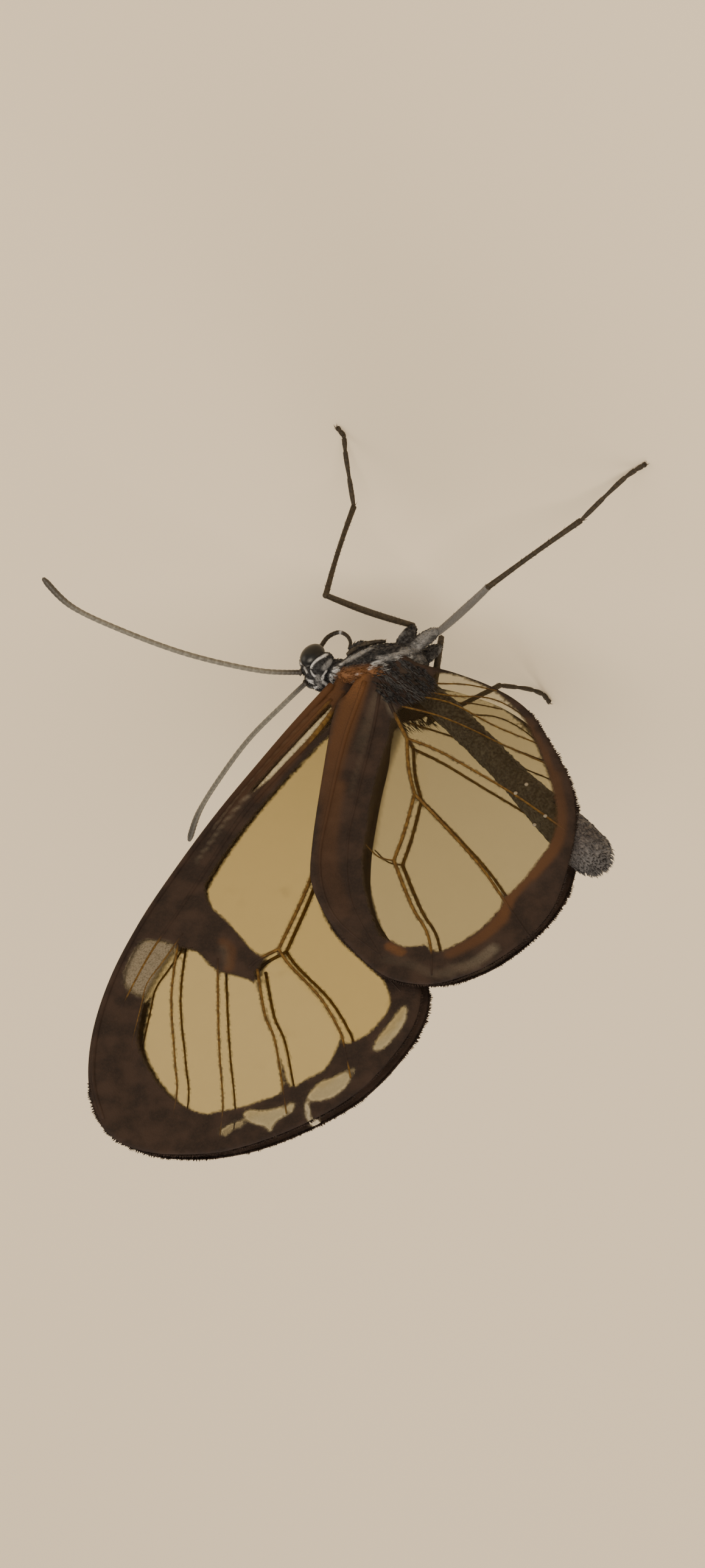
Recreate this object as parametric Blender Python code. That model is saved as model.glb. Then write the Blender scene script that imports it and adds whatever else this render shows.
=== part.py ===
"""Glasswing butterfly at rest with its wings closed over its back, life size.

The model stands on its four walking feet at z = 0. +X is forward, towards the head, +Y is the
butterfly's left and +Z is up. Every size below is in millimetres, and MM turns it into metres.
"""

import math
from collections import namedtuple

import bmesh
import bpy
from mathutils import Matrix, Vector
from mathutils.geometry import delaunay_2d_cdt

MM = 0.001
GAP = 0.3
RIGHT = -1
LEFT = 1

# Where the middle of the footprint lies from the point under the thorax
FOOTPRINT_X = -0.2
FOOTPRINT_Y = 0.84

# Colours (linear) and roughness
Look = namedtuple("Look", "colour roughness")
THORAX_LOOK = Look((0.03, 0.025, 0.025), 0.6)
HEAD_LOOK = Look((0.02, 0.02, 0.02), 0.6)
EYE_LOOK = Look((0.01, 0.01, 0.012), 0.15)
ANTENNA_LOOK = Look((0.12, 0.08, 0.05), 0.6)
PROBOSCIS_LOOK = Look((0.02, 0.018, 0.015), 0.4)
ABDOMEN_LOOK = Look((0.06, 0.05, 0.05), 0.7)
LEG_LOOK = Look((0.06, 0.045, 0.035), 0.6)
FORELEG_LOOK = Look((0.2, 0.18, 0.17), 0.7)
FOREWING_LOOK = Look((0.55, 0.42, 0.2), 0.3)
HINDWING_LOOK = Look((0.6, 0.46, 0.22), 0.3)

# Egg-shaped forms: centre, half sizes, pitch in degrees (front end up) and rings of faces
Egg = namedtuple("Egg", "centre half pitch rings")

# Thorax: an egg whose rear end is lower, with the four walking coxae grown from its underside.
# Forms off the middle are given on the left side, and the right ones mirror them.
THORAX = Egg((-0.55, 0.0, 6.6), (2.25, 1.3, 1.3), 28, 14)
MID_COXA = Egg((-1.2, 0.6, 4.9), (0.42, 0.4, 0.95), -10, 8)
HIND_COXA = Egg((-1.98, 0.56, 4.8), (0.42, 0.4, 1.05), -30, 8)

# Head, with a flat-backed eye on each side
HEAD = Egg((2.4, 0.0, 7.3), (0.76, 0.85, 0.98), 0, 12)
EYE = Egg((2.45, 0.84, 7.3), (0.7, 0.34, 0.7), 0, 12)
ANTENNA_RADIUS = 0.25
ANTENNA_TIP_RADIUS = 0.16
PALP_RADIUS = 0.22
PROBOSCIS_RADIUS = 0.25

# Abdomen: from behind the thorax up between the hindwings, thickest at its end
ABDOMEN_START = Vector((-2.2, 0.0, 6.75))
ABDOMEN_END = Vector((-13.7, 0.0, 15.1))
ABDOMEN_SAG = 0.25
ABDOMEN_WAIST_RADIUS = 0.5
ABDOMEN_RADIUS = 0.66
ABDOMEN_TIP_RADIUS = 0.76
ABDOMEN_SEGMENTS = 8
ABDOMEN_GROOVE = 0.06

# Legs
LEG_RADIUS = 0.25
FEMUR_RADII = [0.3, 0.3, 0.25]
FOOT_LENGTH = 0.9
TARSUS_LIFT = 0.09

# Wings: plates on edge. The forewings are flat and lie back to back. The hindwings lie outside them
# and round the abdomen, and close towards each other behind the forewings and above the abdomen.
# The two pairs of values are where that closing begins and ends.
WING_THICKNESS = 0.5
WING_EDGE_THICKNESS = 0.3
WING_EDGE_TAPER = 0.7
FOREWING_Y = 0.39
HINDWING_OUT_Y = 1.18
HINDWING_IN_Y = 0.5
CLOSES_ABOVE_ABDOMEN = (0.8, 3.4)
CLOSES_BEHIND_FOREWING = (0.8, 3.0)
FOREWING_GRID = 3.0
HINDWING_GRID = 1.6
VEIN_WIDTH = 0.5
VEIN_HEIGHT = 0.12
LEFT_WING_SHIFT = Vector((0.0, 0.0, -0.4))
WING_PIVOT = Vector((-0.6, 0.0, 7.6))
LEFT_WING_TURN = math.radians(1.0)

# Outline of the forewing as (x, z): up the leading edge, round the apex, down the outer margin
# and back along the inner margin to the root
FOREWING_OUTLINE = [
    (0.9, 7.0), (1.4, 8.9), (2.0, 10.4), (2.8, 13.3), (3.5, 16.4), (4.1, 19.6), (4.6, 23.3),
    (4.7, 26.6), (4.3, 29.7), (3.4, 32.3), (2.1, 34.1), (0.4, 34.9), (-1.7, 34.7), (-3.9, 33.8),
    (-6.1, 32.0), (-7.9, 29.7), (-8.9, 26.8), (-9.0, 24.7), (-8.3, 23.1), (-6.6, 21.9),
    (-4.9, 20.1), (-3.9, 17.6), (-3.2, 14.4), (-2.6, 11.4), (-1.7, 9.0), (-0.9, 6.8),
]

# Outline of the hindwing as (x, z): up the leading edge, along the outer margin, and down the
# anal margin below the abdomen to the root
HINDWING_OUTLINE = [
    (-0.4, 6.6), (0.2, 8.8), (0.3, 10.1), (-0.5, 13.8), (-1.5, 17.8), (-2.3, 19.9), (-4.0, 21.8),
    (-6.1, 23.3), (-7.7, 23.9), (-9.4, 23.6), (-10.9, 22.5), (-12.0, 21.0), (-12.7, 19.2),
    (-13.0, 17.2), (-12.9, 15.1), (-12.4, 13.3), (-11.3, 11.3), (-9.9, 9.6), (-8.2, 7.9),
    (-6.3, 7.0), (-4.2, 6.6), (-2.4, 6.5), (-1.6, 6.0),
]

# Main veins of the forewing: costa, radius, cubitus, the cross-veins that close the cell, three
# branches to the outer margin, the cubital branch and the anal vein
FOREWING_VEINS = [
    [(1.3, 9.6), (2.3, 13.3), (3.0, 16.4), (3.6, 19.6), (4.1, 23.3), (4.2, 26.6), (3.8, 29.4), (2.9, 31.8)],
    [(0.5, 8.8), (1.2, 13.5), (2.0, 17.0), (2.5, 20.8), (2.8, 24.0), (3.0, 27.4), (2.4, 30.4), (1.2, 33.4)],
    [(-0.1, 8.8), (-0.8, 13.8), (-1.6, 18.0), (-1.9, 20.6), (-1.9, 23.2)],
    [(-1.9, 23.2), (-0.7, 24.1), (0.9, 23.8), (2.6, 21.6)],
    [(2.8, 24.0), (1.7, 26.9), (0.3, 30.0), (-0.9, 33.6)],
    [(0.2, 24.1), (-0.7, 27.2), (-2.0, 30.3), (-3.2, 33.1)],
    [(-1.2, 23.8), (-2.6, 26.7), (-4.2, 29.1), (-5.5, 31.2)],
    [(-1.9, 23.2), (-3.7, 24.5), (-6.1, 26.8), (-7.1, 28.8)],
    [(-0.8, 9.4), (-1.6, 13.0), (-2.4, 17.0), (-3.5, 20.2), (-5.6, 22.5), (-7.6, 24.1)],
]

# Main veins of the hindwing: leading vein, radius, the stem with its three branches, the
# cross-vein, and the two anal veins
HINDWING_VEINS = [
    [(-0.6, 9.0), (-0.7, 12.0), (-1.6, 15.9), (-2.4, 18.9), (-3.8, 20.9), (-6.2, 22.7)],
    [(-1.9, 8.2), (-2.9, 13.0), (-3.6, 16.4), (-4.5, 19.1), (-6.2, 21.4), (-8.9, 22.6)],
    [(-2.3, 9.5), (-3.3, 10.6), (-4.9, 11.1), (-7.0, 11.8), (-9.2, 12.8), (-11.6, 13.8)],
    [(-3.3, 10.6), (-4.0, 12.3), (-4.9, 13.9), (-7.0, 15.3), (-9.1, 16.9), (-11.8, 19.6)],
    [(-4.9, 13.9), (-5.2, 16.0), (-5.6, 17.8), (-7.2, 20.1), (-8.9, 22.6)],
    [(-5.5, 17.5), (-4.0, 17.6)],
    [(-2.2, 8.4), (-4.5, 8.3), (-7.0, 9.2), (-9.0, 9.5)],
    [(-2.3, 9.0), (-4.5, 9.3), (-7.0, 9.9), (-10.0, 10.5)],
]


def paint(name, look):
    material = bpy.data.materials.new(name)
    material.use_nodes = True
    shader = material.node_tree.nodes["Principled BSDF"]
    shader.inputs["Base Color"].default_value = (*look.colour, 1.0)
    shader.inputs["Roughness"].default_value = look.roughness
    return material


def add_node(name, shape, material):
    """Turns a bmesh in millimetres into an object in metres, centred on the footprint."""
    bmesh.ops.triangulate(shape, faces=shape.faces)
    bmesh.ops.recalc_face_normals(shape, faces=shape.faces)
    mesh = bpy.data.meshes.new(name)
    shape.to_mesh(mesh)
    shape.free()
    footprint = Matrix.Translation((-FOOTPRINT_X, -FOOTPRINT_Y, 0.0))
    mesh.transform(Matrix.Scale(MM, 4) @ footprint)
    mesh.materials.append(material)
    mesh.shade_smooth()
    mesh.set_sharp_from_angle(angle=math.radians(40))
    node = bpy.data.objects.new(name, mesh)
    bpy.context.scene.collection.objects.link(node)
    return node


def smooth_points(points, steps, closed=False):
    """Points of a Catmull-Rom curve through the given ones, steps to each span."""
    points = [Vector(p) for p in points]
    count = len(points)
    spans = count if closed else count - 1
    result = []
    for i in range(spans):
        if closed:
            a, b, c, d = (points[(i + k) % count] for k in (-1, 0, 1, 2))
        else:
            a, b, c, d = (points[min(max(i + k, 0), count - 1)] for k in (-1, 0, 1, 2))
        for step in range(steps):
            t = step / steps
            curve = (-a + 3 * b - 3 * c + d) * t**3 + (2 * a - 5 * b + 4 * c - d) * t**2
            result.append(0.5 * (curve + (c - a) * t + 2 * b))
    if not closed:
        result.append(points[-1])
    return result


def mirrored(point, side):
    return Vector((point[0], side * point[1], point[2]))


def on_side(egg, side):
    return egg._replace(centre=mirrored(egg.centre, side))


def egg_shape(egg, grown=0.0):
    """A closed egg, with its surface moved out by grown."""
    shape = bmesh.new()
    bmesh.ops.create_uvsphere(shape, u_segments=egg.rings * 3 // 2, v_segments=egg.rings, radius=1.0)
    half = [size + grown for size in egg.half]
    turn = Matrix.Rotation(math.radians(-egg.pitch), 4, "Y")
    place = Matrix.Translation(egg.centre) @ turn @ Matrix.Diagonal((*half, 1.0))
    bmesh.ops.transform(shape, matrix=place, verts=shape.verts)
    return shape


def tube(path, radii, sides=8, floor=None):
    """A closed tube along path. radii are spread evenly over it, and floor flattens what is lower."""
    shape = bmesh.new()
    normal = Vector((0.0, 0.0, 1.0))
    rows = []
    for i, point in enumerate(path):
        along = (path[min(i + 1, len(path) - 1)] - path[max(i - 1, 0)]).normalized()
        normal = (normal - along * normal.dot(along)).normalized()
        across = along.cross(normal)
        place = i / (len(path) - 1) * (len(radii) - 1)
        low = min(int(place), len(radii) - 2)
        radius = radii[low] + (radii[low + 1] - radii[low]) * (place - low)
        row = []
        for k in range(sides):
            angle = 2 * math.pi * (k + 0.5) / sides
            corner = point + radius * (math.cos(angle) * across + math.sin(angle) * normal)
            if floor is not None:
                corner.z = max(corner.z, floor)
            row.append(shape.verts.new(corner))
        rows.append(row)
    for near, far in zip(rows, rows[1:]):
        for k in range(sides):
            shape.faces.new((near[k], near[(k + 1) % sides], far[(k + 1) % sides], far[k]))
    shape.faces.new(rows[0])
    shape.faces.new(reversed(rows[-1]))
    return shape


def keep_largest(mesh):
    """Drops every closed surface of the mesh but the one with most vertices."""
    shape = bmesh.new()
    shape.from_mesh(mesh)
    unseen = set(shape.verts)
    islands = []
    while unseen:
        front = [unseen.pop()]
        island = set(front)
        while front:
            for edge in front.pop().link_edges:
                for vertex in edge.verts:
                    if vertex in unseen:
                        unseen.remove(vertex)
                        island.add(vertex)
                        front.append(vertex)
        islands.append(island)
    largest = max(islands, key=len)
    loose = [v for v in shape.verts if v not in largest]
    bmesh.ops.delete(shape, geom=loose, context="VERTS")
    bmesh.ops.triangulate(shape, faces=shape.faces)
    shape.to_mesh(mesh)
    shape.free()


def apply_modifiers(node):
    evaluated = node.evaluated_get(bpy.context.evaluated_depsgraph_get())
    old = node.data
    node.data = bpy.data.meshes.new_from_object(evaluated)
    node.modifiers.clear()
    bpy.data.meshes.remove(old)
    keep_largest(node.data)


def cut(node, *shapes):
    cutters = []
    for shape in shapes:
        cutter = add_node("cutter", shape, node.data.materials[0])
        cutter.hide_render = True
        cutter.display_type = "WIRE"
        trim = node.modifiers.new("trim", "BOOLEAN")
        trim.operation = "DIFFERENCE"
        trim.solver = "EXACT"
        trim.object = cutter
        cutters.append(cutter)
    bpy.context.view_layer.update()
    apply_modifiers(node)
    for cutter in cutters:
        bpy.data.objects.remove(cutter)


def cut_clear(node, *eggs):
    """Trims a node so that it meets these forms face to face with a gap."""
    cut(node, *[egg_shape(egg, GAP) for egg in eggs])


def join_closed(name, shapes, material):
    """One closed node from several overlapping shapes."""
    pieces = [add_node(name, shape, material) for shape in shapes]
    first, rest = pieces[0], pieces[1:]
    group = bpy.data.collections.new(name + "_pieces")
    for piece in rest:
        group.objects.link(piece)
    join = first.modifiers.new("join", "BOOLEAN")
    join.operation = "UNION"
    join.solver = "EXACT"
    join.operand_type = "COLLECTION"
    join.collection = group
    bpy.context.view_layer.update()
    apply_modifiers(first)
    for piece in rest:
        bpy.data.objects.remove(piece)
    bpy.data.collections.remove(group)
    first.name = name
    return first


def side_name(part, side):
    return part + ("_left" if side == LEFT else "_right")


BOTH_EYES = [on_side(EYE, side) for side in (RIGHT, LEFT)]
COXAE = [on_side(coxa, side) for coxa in (MID_COXA, HIND_COXA) for side in (RIGHT, LEFT)]
THORAX_FORMS = [THORAX] + COXAE


# The reduced front leg of a brush-footed butterfly, folded into the underside of the thorax
FORELEG_PATH = [(1.05, 0.55, 6.7), (0.7, 0.57, 6.17), (0.1, 0.55, 5.72), (-0.32, 0.53, 5.56)]
FORELEG_RADII = [0.25, 0.25, 0.2]


def foreleg_path(side):
    return smooth_points([mirrored(p, side) for p in FORELEG_PATH], 3)


def make_thorax():
    """The thorax has a groove under each folded front leg."""
    shapes = [egg_shape(form) for form in THORAX_FORMS]
    thorax = join_closed("thorax", shapes, paint("thorax_scales", THORAX_LOOK))
    grooves = []
    for side in (RIGHT, LEFT):
        path = foreleg_path(side)
        ahead = path[0] + (path[0] - path[1]) * 1.5
        behind = path[-1] + (path[-1] - path[-2]).normalized() * GAP
        grooves.append(tube([ahead] + path + [behind], [r + GAP for r in FORELEG_RADII]))
    cut(thorax, *grooves)


def make_foreleg(side):
    name = side_name("foreleg", side)
    leg = add_node(name, tube(foreleg_path(side), FORELEG_RADII), paint(name, FORELEG_LOOK))
    cut_clear(leg, on_side(MID_COXA, side))


PALP_PATH = [(2.8, 0.23, 6.5), (3.1, 0.23, 6.6), (3.27, 0.23, 7.0), (3.22, 0.23, 7.5)]


def make_head():
    """The head, with its two palps pressed against the face, and the eyes."""
    shapes = [egg_shape(HEAD)]
    for side in (RIGHT, LEFT):
        path = smooth_points([mirrored(p, side) for p in PALP_PATH], 3)
        shapes.append(tube(path, [PALP_RADIUS] * 3 + [0.12]))
    head = join_closed("head", shapes, paint("head_scales", HEAD_LOOK))
    cut_clear(head, THORAX, *BOTH_EYES)
    for side in (RIGHT, LEFT):
        name = side_name("eye", side)
        add_node(name, egg_shape(on_side(EYE, side)), paint(name, EYE_LOOK))


# Right antenna and left antenna, each from its root beside the eyes out to the tip
ANTENNA_PATHS = {
    RIGHT: [
        (2.9, -0.3, 7.9), (4.6, -0.9, 8.75), (7.4, -2.35, 9.8), (10.1, -4.05, 10.55),
        (12.15, -5.6, 11.0), (13.4, -6.9, 10.8),
    ],
    LEFT: [
        (2.7, 0.3, 7.95), (3.8, 1.65, 8.3), (5.7, 4.15, 8.8), (7.4, 6.95, 9.3), (8.7, 9.45, 9.65),
        (9.5, 11.7, 9.75),
    ],
}


def make_antenna(side):
    path = smooth_points(ANTENNA_PATHS[side], 6)
    radii = [ANTENNA_RADIUS] * 4 + [ANTENNA_TIP_RADIUS]
    name = side_name("antenna", side)
    antenna = add_node(name, tube(path, radii, 6), paint(name, ANTENNA_LOOK))
    cut_clear(antenna, HEAD, *BOTH_EYES)


PROBOSCIS_PATH = [(2.75, 6.7), (2.85, 6.1), (2.7, 5.45), (2.3, 5.05), (1.8, 5.0), (1.45, 5.2)]


def make_tongue():
    path = smooth_points([(x, 0.0, z) for x, z in PROBOSCIS_PATH], 4)
    radii = [PROBOSCIS_RADIUS] * 4 + [0.18]
    tongue = add_node("proboscis", tube(path, radii), paint("proboscis", PROBOSCIS_LOOK))
    cut_clear(tongue, HEAD, THORAX, *BOTH_EYES)


def make_abdomen():
    """A tapered rod with a shallow groove between its segments."""
    per_segment = 3
    count = ABDOMEN_SEGMENTS * per_segment
    path = []
    radii = []
    for i in range(count + 1):
        t = i / count
        point = ABDOMEN_START.lerp(ABDOMEN_END, t)
        point.z -= ABDOMEN_SAG * math.sin(math.pi * t)
        path.append(point)
        radius = ABDOMEN_WAIST_RADIUS + (ABDOMEN_RADIUS - ABDOMEN_WAIST_RADIUS) * min(t / 0.25, 1.0)
        if t > 0.85:
            radius = ABDOMEN_RADIUS + (ABDOMEN_TIP_RADIUS - ABDOMEN_RADIUS) * (t - 0.85) / 0.1
            radius = min(radius, ABDOMEN_TIP_RADIUS)
        if i % per_segment == 0:
            radius -= ABDOMEN_GROOVE
        radii.append(radius)
    radii[-1] = 0.5 * ABDOMEN_RADIUS
    shape = tube(path, radii, 12)
    abdomen = add_node("abdomen", shape, paint("abdomen", ABDOMEN_LOOK))
    cut_clear(abdomen, THORAX)


# Each walking leg: its hip, knee and ankle, a point of the tarsus, and the claw on the floor
LEG_POINTS = {
    "midleg_right": [
        (-1.5, -0.75, 4.2), (1.2, -5.5, 7.4), (1.6, -6.1, 2.5), (2.4, -7.5, 0.9), (3.0, -8.5, 0.0),
    ],
    "midleg_left": [
        (-1.5, 0.75, 4.2), (1.2, 5.0, 7.2), (2.0, 6.3, 2.6), (2.7, 7.7, 0.9), (3.2, 8.6, 0.0),
    ],
    "hindleg_right": [
        (-2.6, -0.75, 4.1), (-5.5, -4.9, 4.6), (-9.1, -7.2, 1.7), (-10.7, -8.9, 0.5), (-11.8, -9.9, 0.0),
    ],
    "hindleg_left": [
        (-2.3, 0.75, 3.9), (-2.7, 2.6, 6.9), (-4.2, 5.0, 2.1), (-5.0, 6.6, 0.7), (-5.7, 8.0, 0.0),
    ],
}


def make_leg(name):
    """Femur, tibia and tarsus, parted by a gap at the sharp knee and at the ankle."""
    hip, knee, ankle, sole, claw = (Vector(p) for p in LEG_POINTS[name])
    colour = paint(name, LEG_LOOK)
    down = (ankle - knee).normalized()
    end = knee + (hip - knee).normalized() * GAP / 2
    femur = add_node(name + "_femur", tube([hip, hip.lerp(end, 0.5), end], FEMUR_RADII), colour)
    cut_clear(femur, *THORAX_FORMS)
    start = knee + down * (GAP / 2 + LEG_RADIUS)
    end = ankle - down * GAP / 2
    add_node(name + "_tibia", tube([start, start.lerp(end, 0.5), end], [LEG_RADIUS] * 2), colour)
    flat = claw - ankle
    flat.z = 0.0
    heel = claw - flat.normalized() * FOOT_LENGTH
    lift = Vector((0.0, 0.0, TARSUS_LIFT))
    start = ankle + (sole - ankle).normalized() * GAP / 2
    path = smooth_points([start, sole, heel + lift, claw + lift], 3)
    add_node(name + "_tarsus", tube(path, [LEG_RADIUS] * 2, floor=0.0), colour)


def line_distance(point, line):
    """Distance from a point to a line through several points."""
    best = math.inf
    for a, b in zip(line, line[1:]):
        span = b - a
        t = min(max((point - a).dot(span) / span.length_squared, 0.0), 1.0)
        best = min(best, (point - a - span * t).length)
    return best


def inside(point, loop):
    crossings = 0
    for a, b in zip(loop, loop[1:] + loop[:1]):
        if (a.y > point.y) != (b.y > point.y):
            if point.x < a.x + (point.y - a.y) * (b.x - a.x) / (b.y - a.y):
                crossings += 1
    return crossings % 2 == 1


def wing_points(line, side):
    """A wing's lines are drawn for the right wing. The left one sits slightly lower and back."""
    if side == RIGHT:
        return [Vector(p) for p in line]
    turn = Matrix.Rotation(LEFT_WING_TURN, 2)
    pivot = Vector((WING_PIVOT.x, WING_PIVOT.z))
    shift = Vector((LEFT_WING_SHIFT.x, LEFT_WING_SHIFT.z))
    return [turn @ (Vector(p) - pivot) + pivot + shift for p in line]


def beside(line, distance):
    """The line moved sideways by distance."""
    moved = []
    for i, point in enumerate(line):
        along = (line[min(i + 1, len(line) - 1)] - line[max(i - 1, 0)]).normalized()
        moved.append(point + Vector((-along.y, along.x)) * distance)
    return moved


def soft_step(value, low, high):
    t = min(max((value - low) / (high - low), 0.0), 1.0)
    return t * t * (3.0 - 2.0 * t)


def wing_loop(outline, side):
    return smooth_points(wing_points(outline, side), 2, closed=True)


def distance_outside(point, loop):
    return 0.0 if inside(point, loop) else line_distance(point, loop + loop[:1])


def forewing_height(side):
    return lambda point: FOREWING_Y


def hindwing_height(side):
    """How far from the middle plane the hindwing lies at each point of it."""
    forewing = wing_loop(FOREWING_OUTLINE, side)
    start = Vector((ABDOMEN_START.x, ABDOMEN_START.z))
    along = (Vector((ABDOMEN_END.x, ABDOMEN_END.z)) - start).normalized()

    def height(point):
        above = (point - start).dot(Vector((along.y, -along.x)))
        behind = distance_outside(point, forewing)
        closed = soft_step(above, *CLOSES_ABOVE_ABDOMEN) * soft_step(behind, *CLOSES_BEHIND_FOREWING)
        return HINDWING_OUT_Y + (HINDWING_IN_Y - HINDWING_OUT_Y) * closed

    return height


def grid_points(loop, lines, spacing):
    """Spread points inside the outline, away from it and from the lines."""
    low = Vector((min(p.x for p in loop), min(p.y for p in loop)))
    high = Vector((max(p.x for p in loop), max(p.y for p in loop)))
    result = []
    for i in range(int((high.x - low.x) / spacing) + 1):
        for k in range(int((high.y - low.y) / spacing) + 1):
            point = low + Vector((i + 0.5 + 0.5 * (k % 2), k + 0.5)) * spacing
            if inside(point, loop) and min(line_distance(point, line) for line in lines) > spacing / 3:
                result.append(point)
    return result


def make_wing(part, side, outline, veins, height, spacing, material, cover=None):
    """A thin plate split into the same triangles on both faces. Its veins are low ridges on the outer
    face, down to the cover, the outline of the wing that lies over it."""
    loop = wing_loop(outline, side)
    rim_line = loop + loop[:1]
    veins = [smooth_points(wing_points(vein, side), 2) for vein in veins]
    points = list(loop)
    edges = [(i, (i + 1) % len(loop)) for i in range(len(loop))]
    for vein in veins:
        for line in (beside(vein, -VEIN_WIDTH / 2), vein, beside(vein, VEIN_WIDTH / 2)):
            edges += [(len(points) + i, len(points) + i + 1) for i in range(len(line) - 1)]
            points += line
    points += grid_points(loop, [rim_line] + veins, spacing)
    flat, _, triangles, *_ = delaunay_2d_cdt(points, edges, [], 1, 1e-4)
    shape = bmesh.new()
    faces = []
    for outer in (1, 0):
        row = []
        for p in flat:
            taper = min(line_distance(p, rim_line) / WING_EDGE_TAPER, 1.0)
            thick = WING_EDGE_THICKNESS + (WING_THICKNESS - WING_EDGE_THICKNESS) * taper
            across = thick / 2
            if outer and not (cover and distance_outside(p, cover) < GAP):
                from_vein = min(line_distance(p, vein) for vein in veins)
                across += VEIN_HEIGHT * max(1.0 - from_vein / (VEIN_WIDTH / 2), 0.0)
            row.append(shape.verts.new((p.x, side * (height(p) + (across if outer else -across)), p.y)))
        faces.append(row)
    for a, b, c in triangles:
        shape.faces.new((faces[0][a], faces[0][b], faces[0][c]))
        shape.faces.new((faces[1][c], faces[1][b], faces[1][a]))
    rim = [e for e in shape.edges if len(e.link_faces) == 1 and e.verts[0] in set(faces[0])]
    opposite = dict(zip(faces[0], faces[1]))
    for edge in rim:
        a, b = edge.verts
        shape.faces.new((a, b, opposite[b], opposite[a]))
    wing = add_node(side_name(part, side), shape, material)
    cut_clear(wing, THORAX)


def main():
    for old in list(bpy.data.objects):
        bpy.data.objects.remove(old)
    make_thorax()
    make_head()
    make_tongue()
    make_abdomen()
    fore = paint("forewing_membrane", FOREWING_LOOK)
    hind = paint("hindwing_membrane", HINDWING_LOOK)
    for side in (RIGHT, LEFT):
        make_antenna(side)
        make_foreleg(side)
        cover = wing_loop(HINDWING_OUTLINE, side)
        height = forewing_height(side)
        make_wing("forewing", side, FOREWING_OUTLINE, FOREWING_VEINS, height, FOREWING_GRID, fore, cover)
        height = hindwing_height(side)
        make_wing("hindwing", side, HINDWING_OUTLINE, HINDWING_VEINS, height, HINDWING_GRID, hind)
    for name in LEG_POINTS:
        make_leg(name)


main()
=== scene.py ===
"""Looks of the glasswing butterfly: wings, body, coat, legs, floor, light and camera.

Forms are given in millimetres from the point of the floor under the thorax: +X towards the head,
+Y to the butterfly's left and +Z up. in_frame() turns them into the frame's metres. Paired forms are
given on the left side, and their right ones are mirrored. The wings are drawn for the right side.
"""

import math
import random

import bpy
import numpy as np
from mathutils import Matrix, Vector, noise
from mathutils.geometry import delaunay_2d_cdt


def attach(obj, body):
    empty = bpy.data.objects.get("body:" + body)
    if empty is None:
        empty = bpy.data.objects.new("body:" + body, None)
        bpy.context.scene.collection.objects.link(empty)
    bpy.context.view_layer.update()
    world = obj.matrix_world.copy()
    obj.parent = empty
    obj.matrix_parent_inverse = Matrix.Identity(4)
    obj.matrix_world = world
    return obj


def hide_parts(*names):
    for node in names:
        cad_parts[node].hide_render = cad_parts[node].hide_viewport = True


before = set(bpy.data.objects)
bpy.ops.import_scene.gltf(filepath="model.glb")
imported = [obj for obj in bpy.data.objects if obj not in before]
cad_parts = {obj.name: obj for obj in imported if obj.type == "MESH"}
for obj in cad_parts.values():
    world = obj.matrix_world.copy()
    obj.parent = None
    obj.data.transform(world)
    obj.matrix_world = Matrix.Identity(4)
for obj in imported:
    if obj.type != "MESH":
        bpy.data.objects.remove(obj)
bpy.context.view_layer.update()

MM = 0.001
FOOTPRINT = np.array((-0.2, 0.84, 0.0))
RIGHT = -1
LEFT = 1
SIDES = (RIGHT, LEFT)
NO_LENGTH = 1e-6


def side_name(part, side):
    return part + ("_left" if side == LEFT else "_right")


def in_frame(points):
    return (np.asarray(points, float) - FOOTPRINT) * MM


def on_side(points, side):
    return np.asarray(points, float) * (1.0, side, 1.0)


def unit(vector):
    return vector / max(np.linalg.norm(vector), NO_LENGTH)


def square_to(vector, along):
    """The direction of what vector has at right angles to along, which is one unit long."""
    return unit(vector - along * (vector @ along))


def scatter(draw, spread):
    """A random step in any direction."""
    return np.array([draw.gauss(0.0, spread) for _ in range(3)])


def smooth_line(points, steps, closed=False):
    """Points of a Catmull-Rom curve through the given ones, steps to each span."""
    points = np.asarray(points, float)
    count = len(points)
    result = []
    for i in range(count if closed else count - 1):
        if closed:
            a, b, c, d = (points[(i + k) % count] for k in (-1, 0, 1, 2))
        else:
            a, b, c, d = (points[min(max(i + k, 0), count - 1)] for k in (-1, 0, 1, 2))
        for step in range(steps):
            t = step / steps
            curve = (-a + 3 * b - 3 * c + d) * t**3 + (2 * a - 5 * b + 4 * c - d) * t**2
            result.append(0.5 * (curve + (c - a) * t + 2 * b))
    if not closed:
        result.append(points[-1])
    return np.array(result)


def line_distance(points, line):
    """Distance of each point to a line through several points, and how far along it that is."""
    best = np.full(len(points), np.inf)
    along = np.zeros(len(points))
    for i, (a, b) in enumerate(zip(line, line[1:])):
        span = b - a
        t = np.clip((points - a) @ span / max(span @ span, NO_LENGTH**2), 0.0, 1.0)
        gap = np.linalg.norm(points - a - t[:, None] * span, axis=1)
        closer = gap < best
        best = np.where(closer, gap, best)
        along = np.where(closer, (i + t) / (len(line) - 1), along)
    return best, along


def inside(points, loop):
    odd = np.zeros(len(points), bool)
    for a, b in zip(loop, np.roll(loop, -1, axis=0)):
        if a[1] != b[1]:
            between = (a[1] > points[:, 1]) != (b[1] > points[:, 1])
            crossing = a[0] + (points[:, 1] - a[1]) * (b[0] - a[0]) / (b[1] - a[1])
            odd ^= between & (points[:, 0] < crossing)
    return odd


def loop_distance(points, loop):
    """Distance to a closed line, negative inside it."""
    gap, _ = line_distance(points, np.vstack((loop, loop[:1])))
    return np.where(inside(points, loop), -gap, gap)


def soft_step(value, low, high):
    t = np.clip((value - low) / (high - low), 0.0, 1.0)
    return t * t * (3.0 - 2.0 * t)


def add_object(name, data):
    thing = bpy.data.objects.new(name, data)
    bpy.context.scene.collection.objects.link(thing)
    return thing


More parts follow.
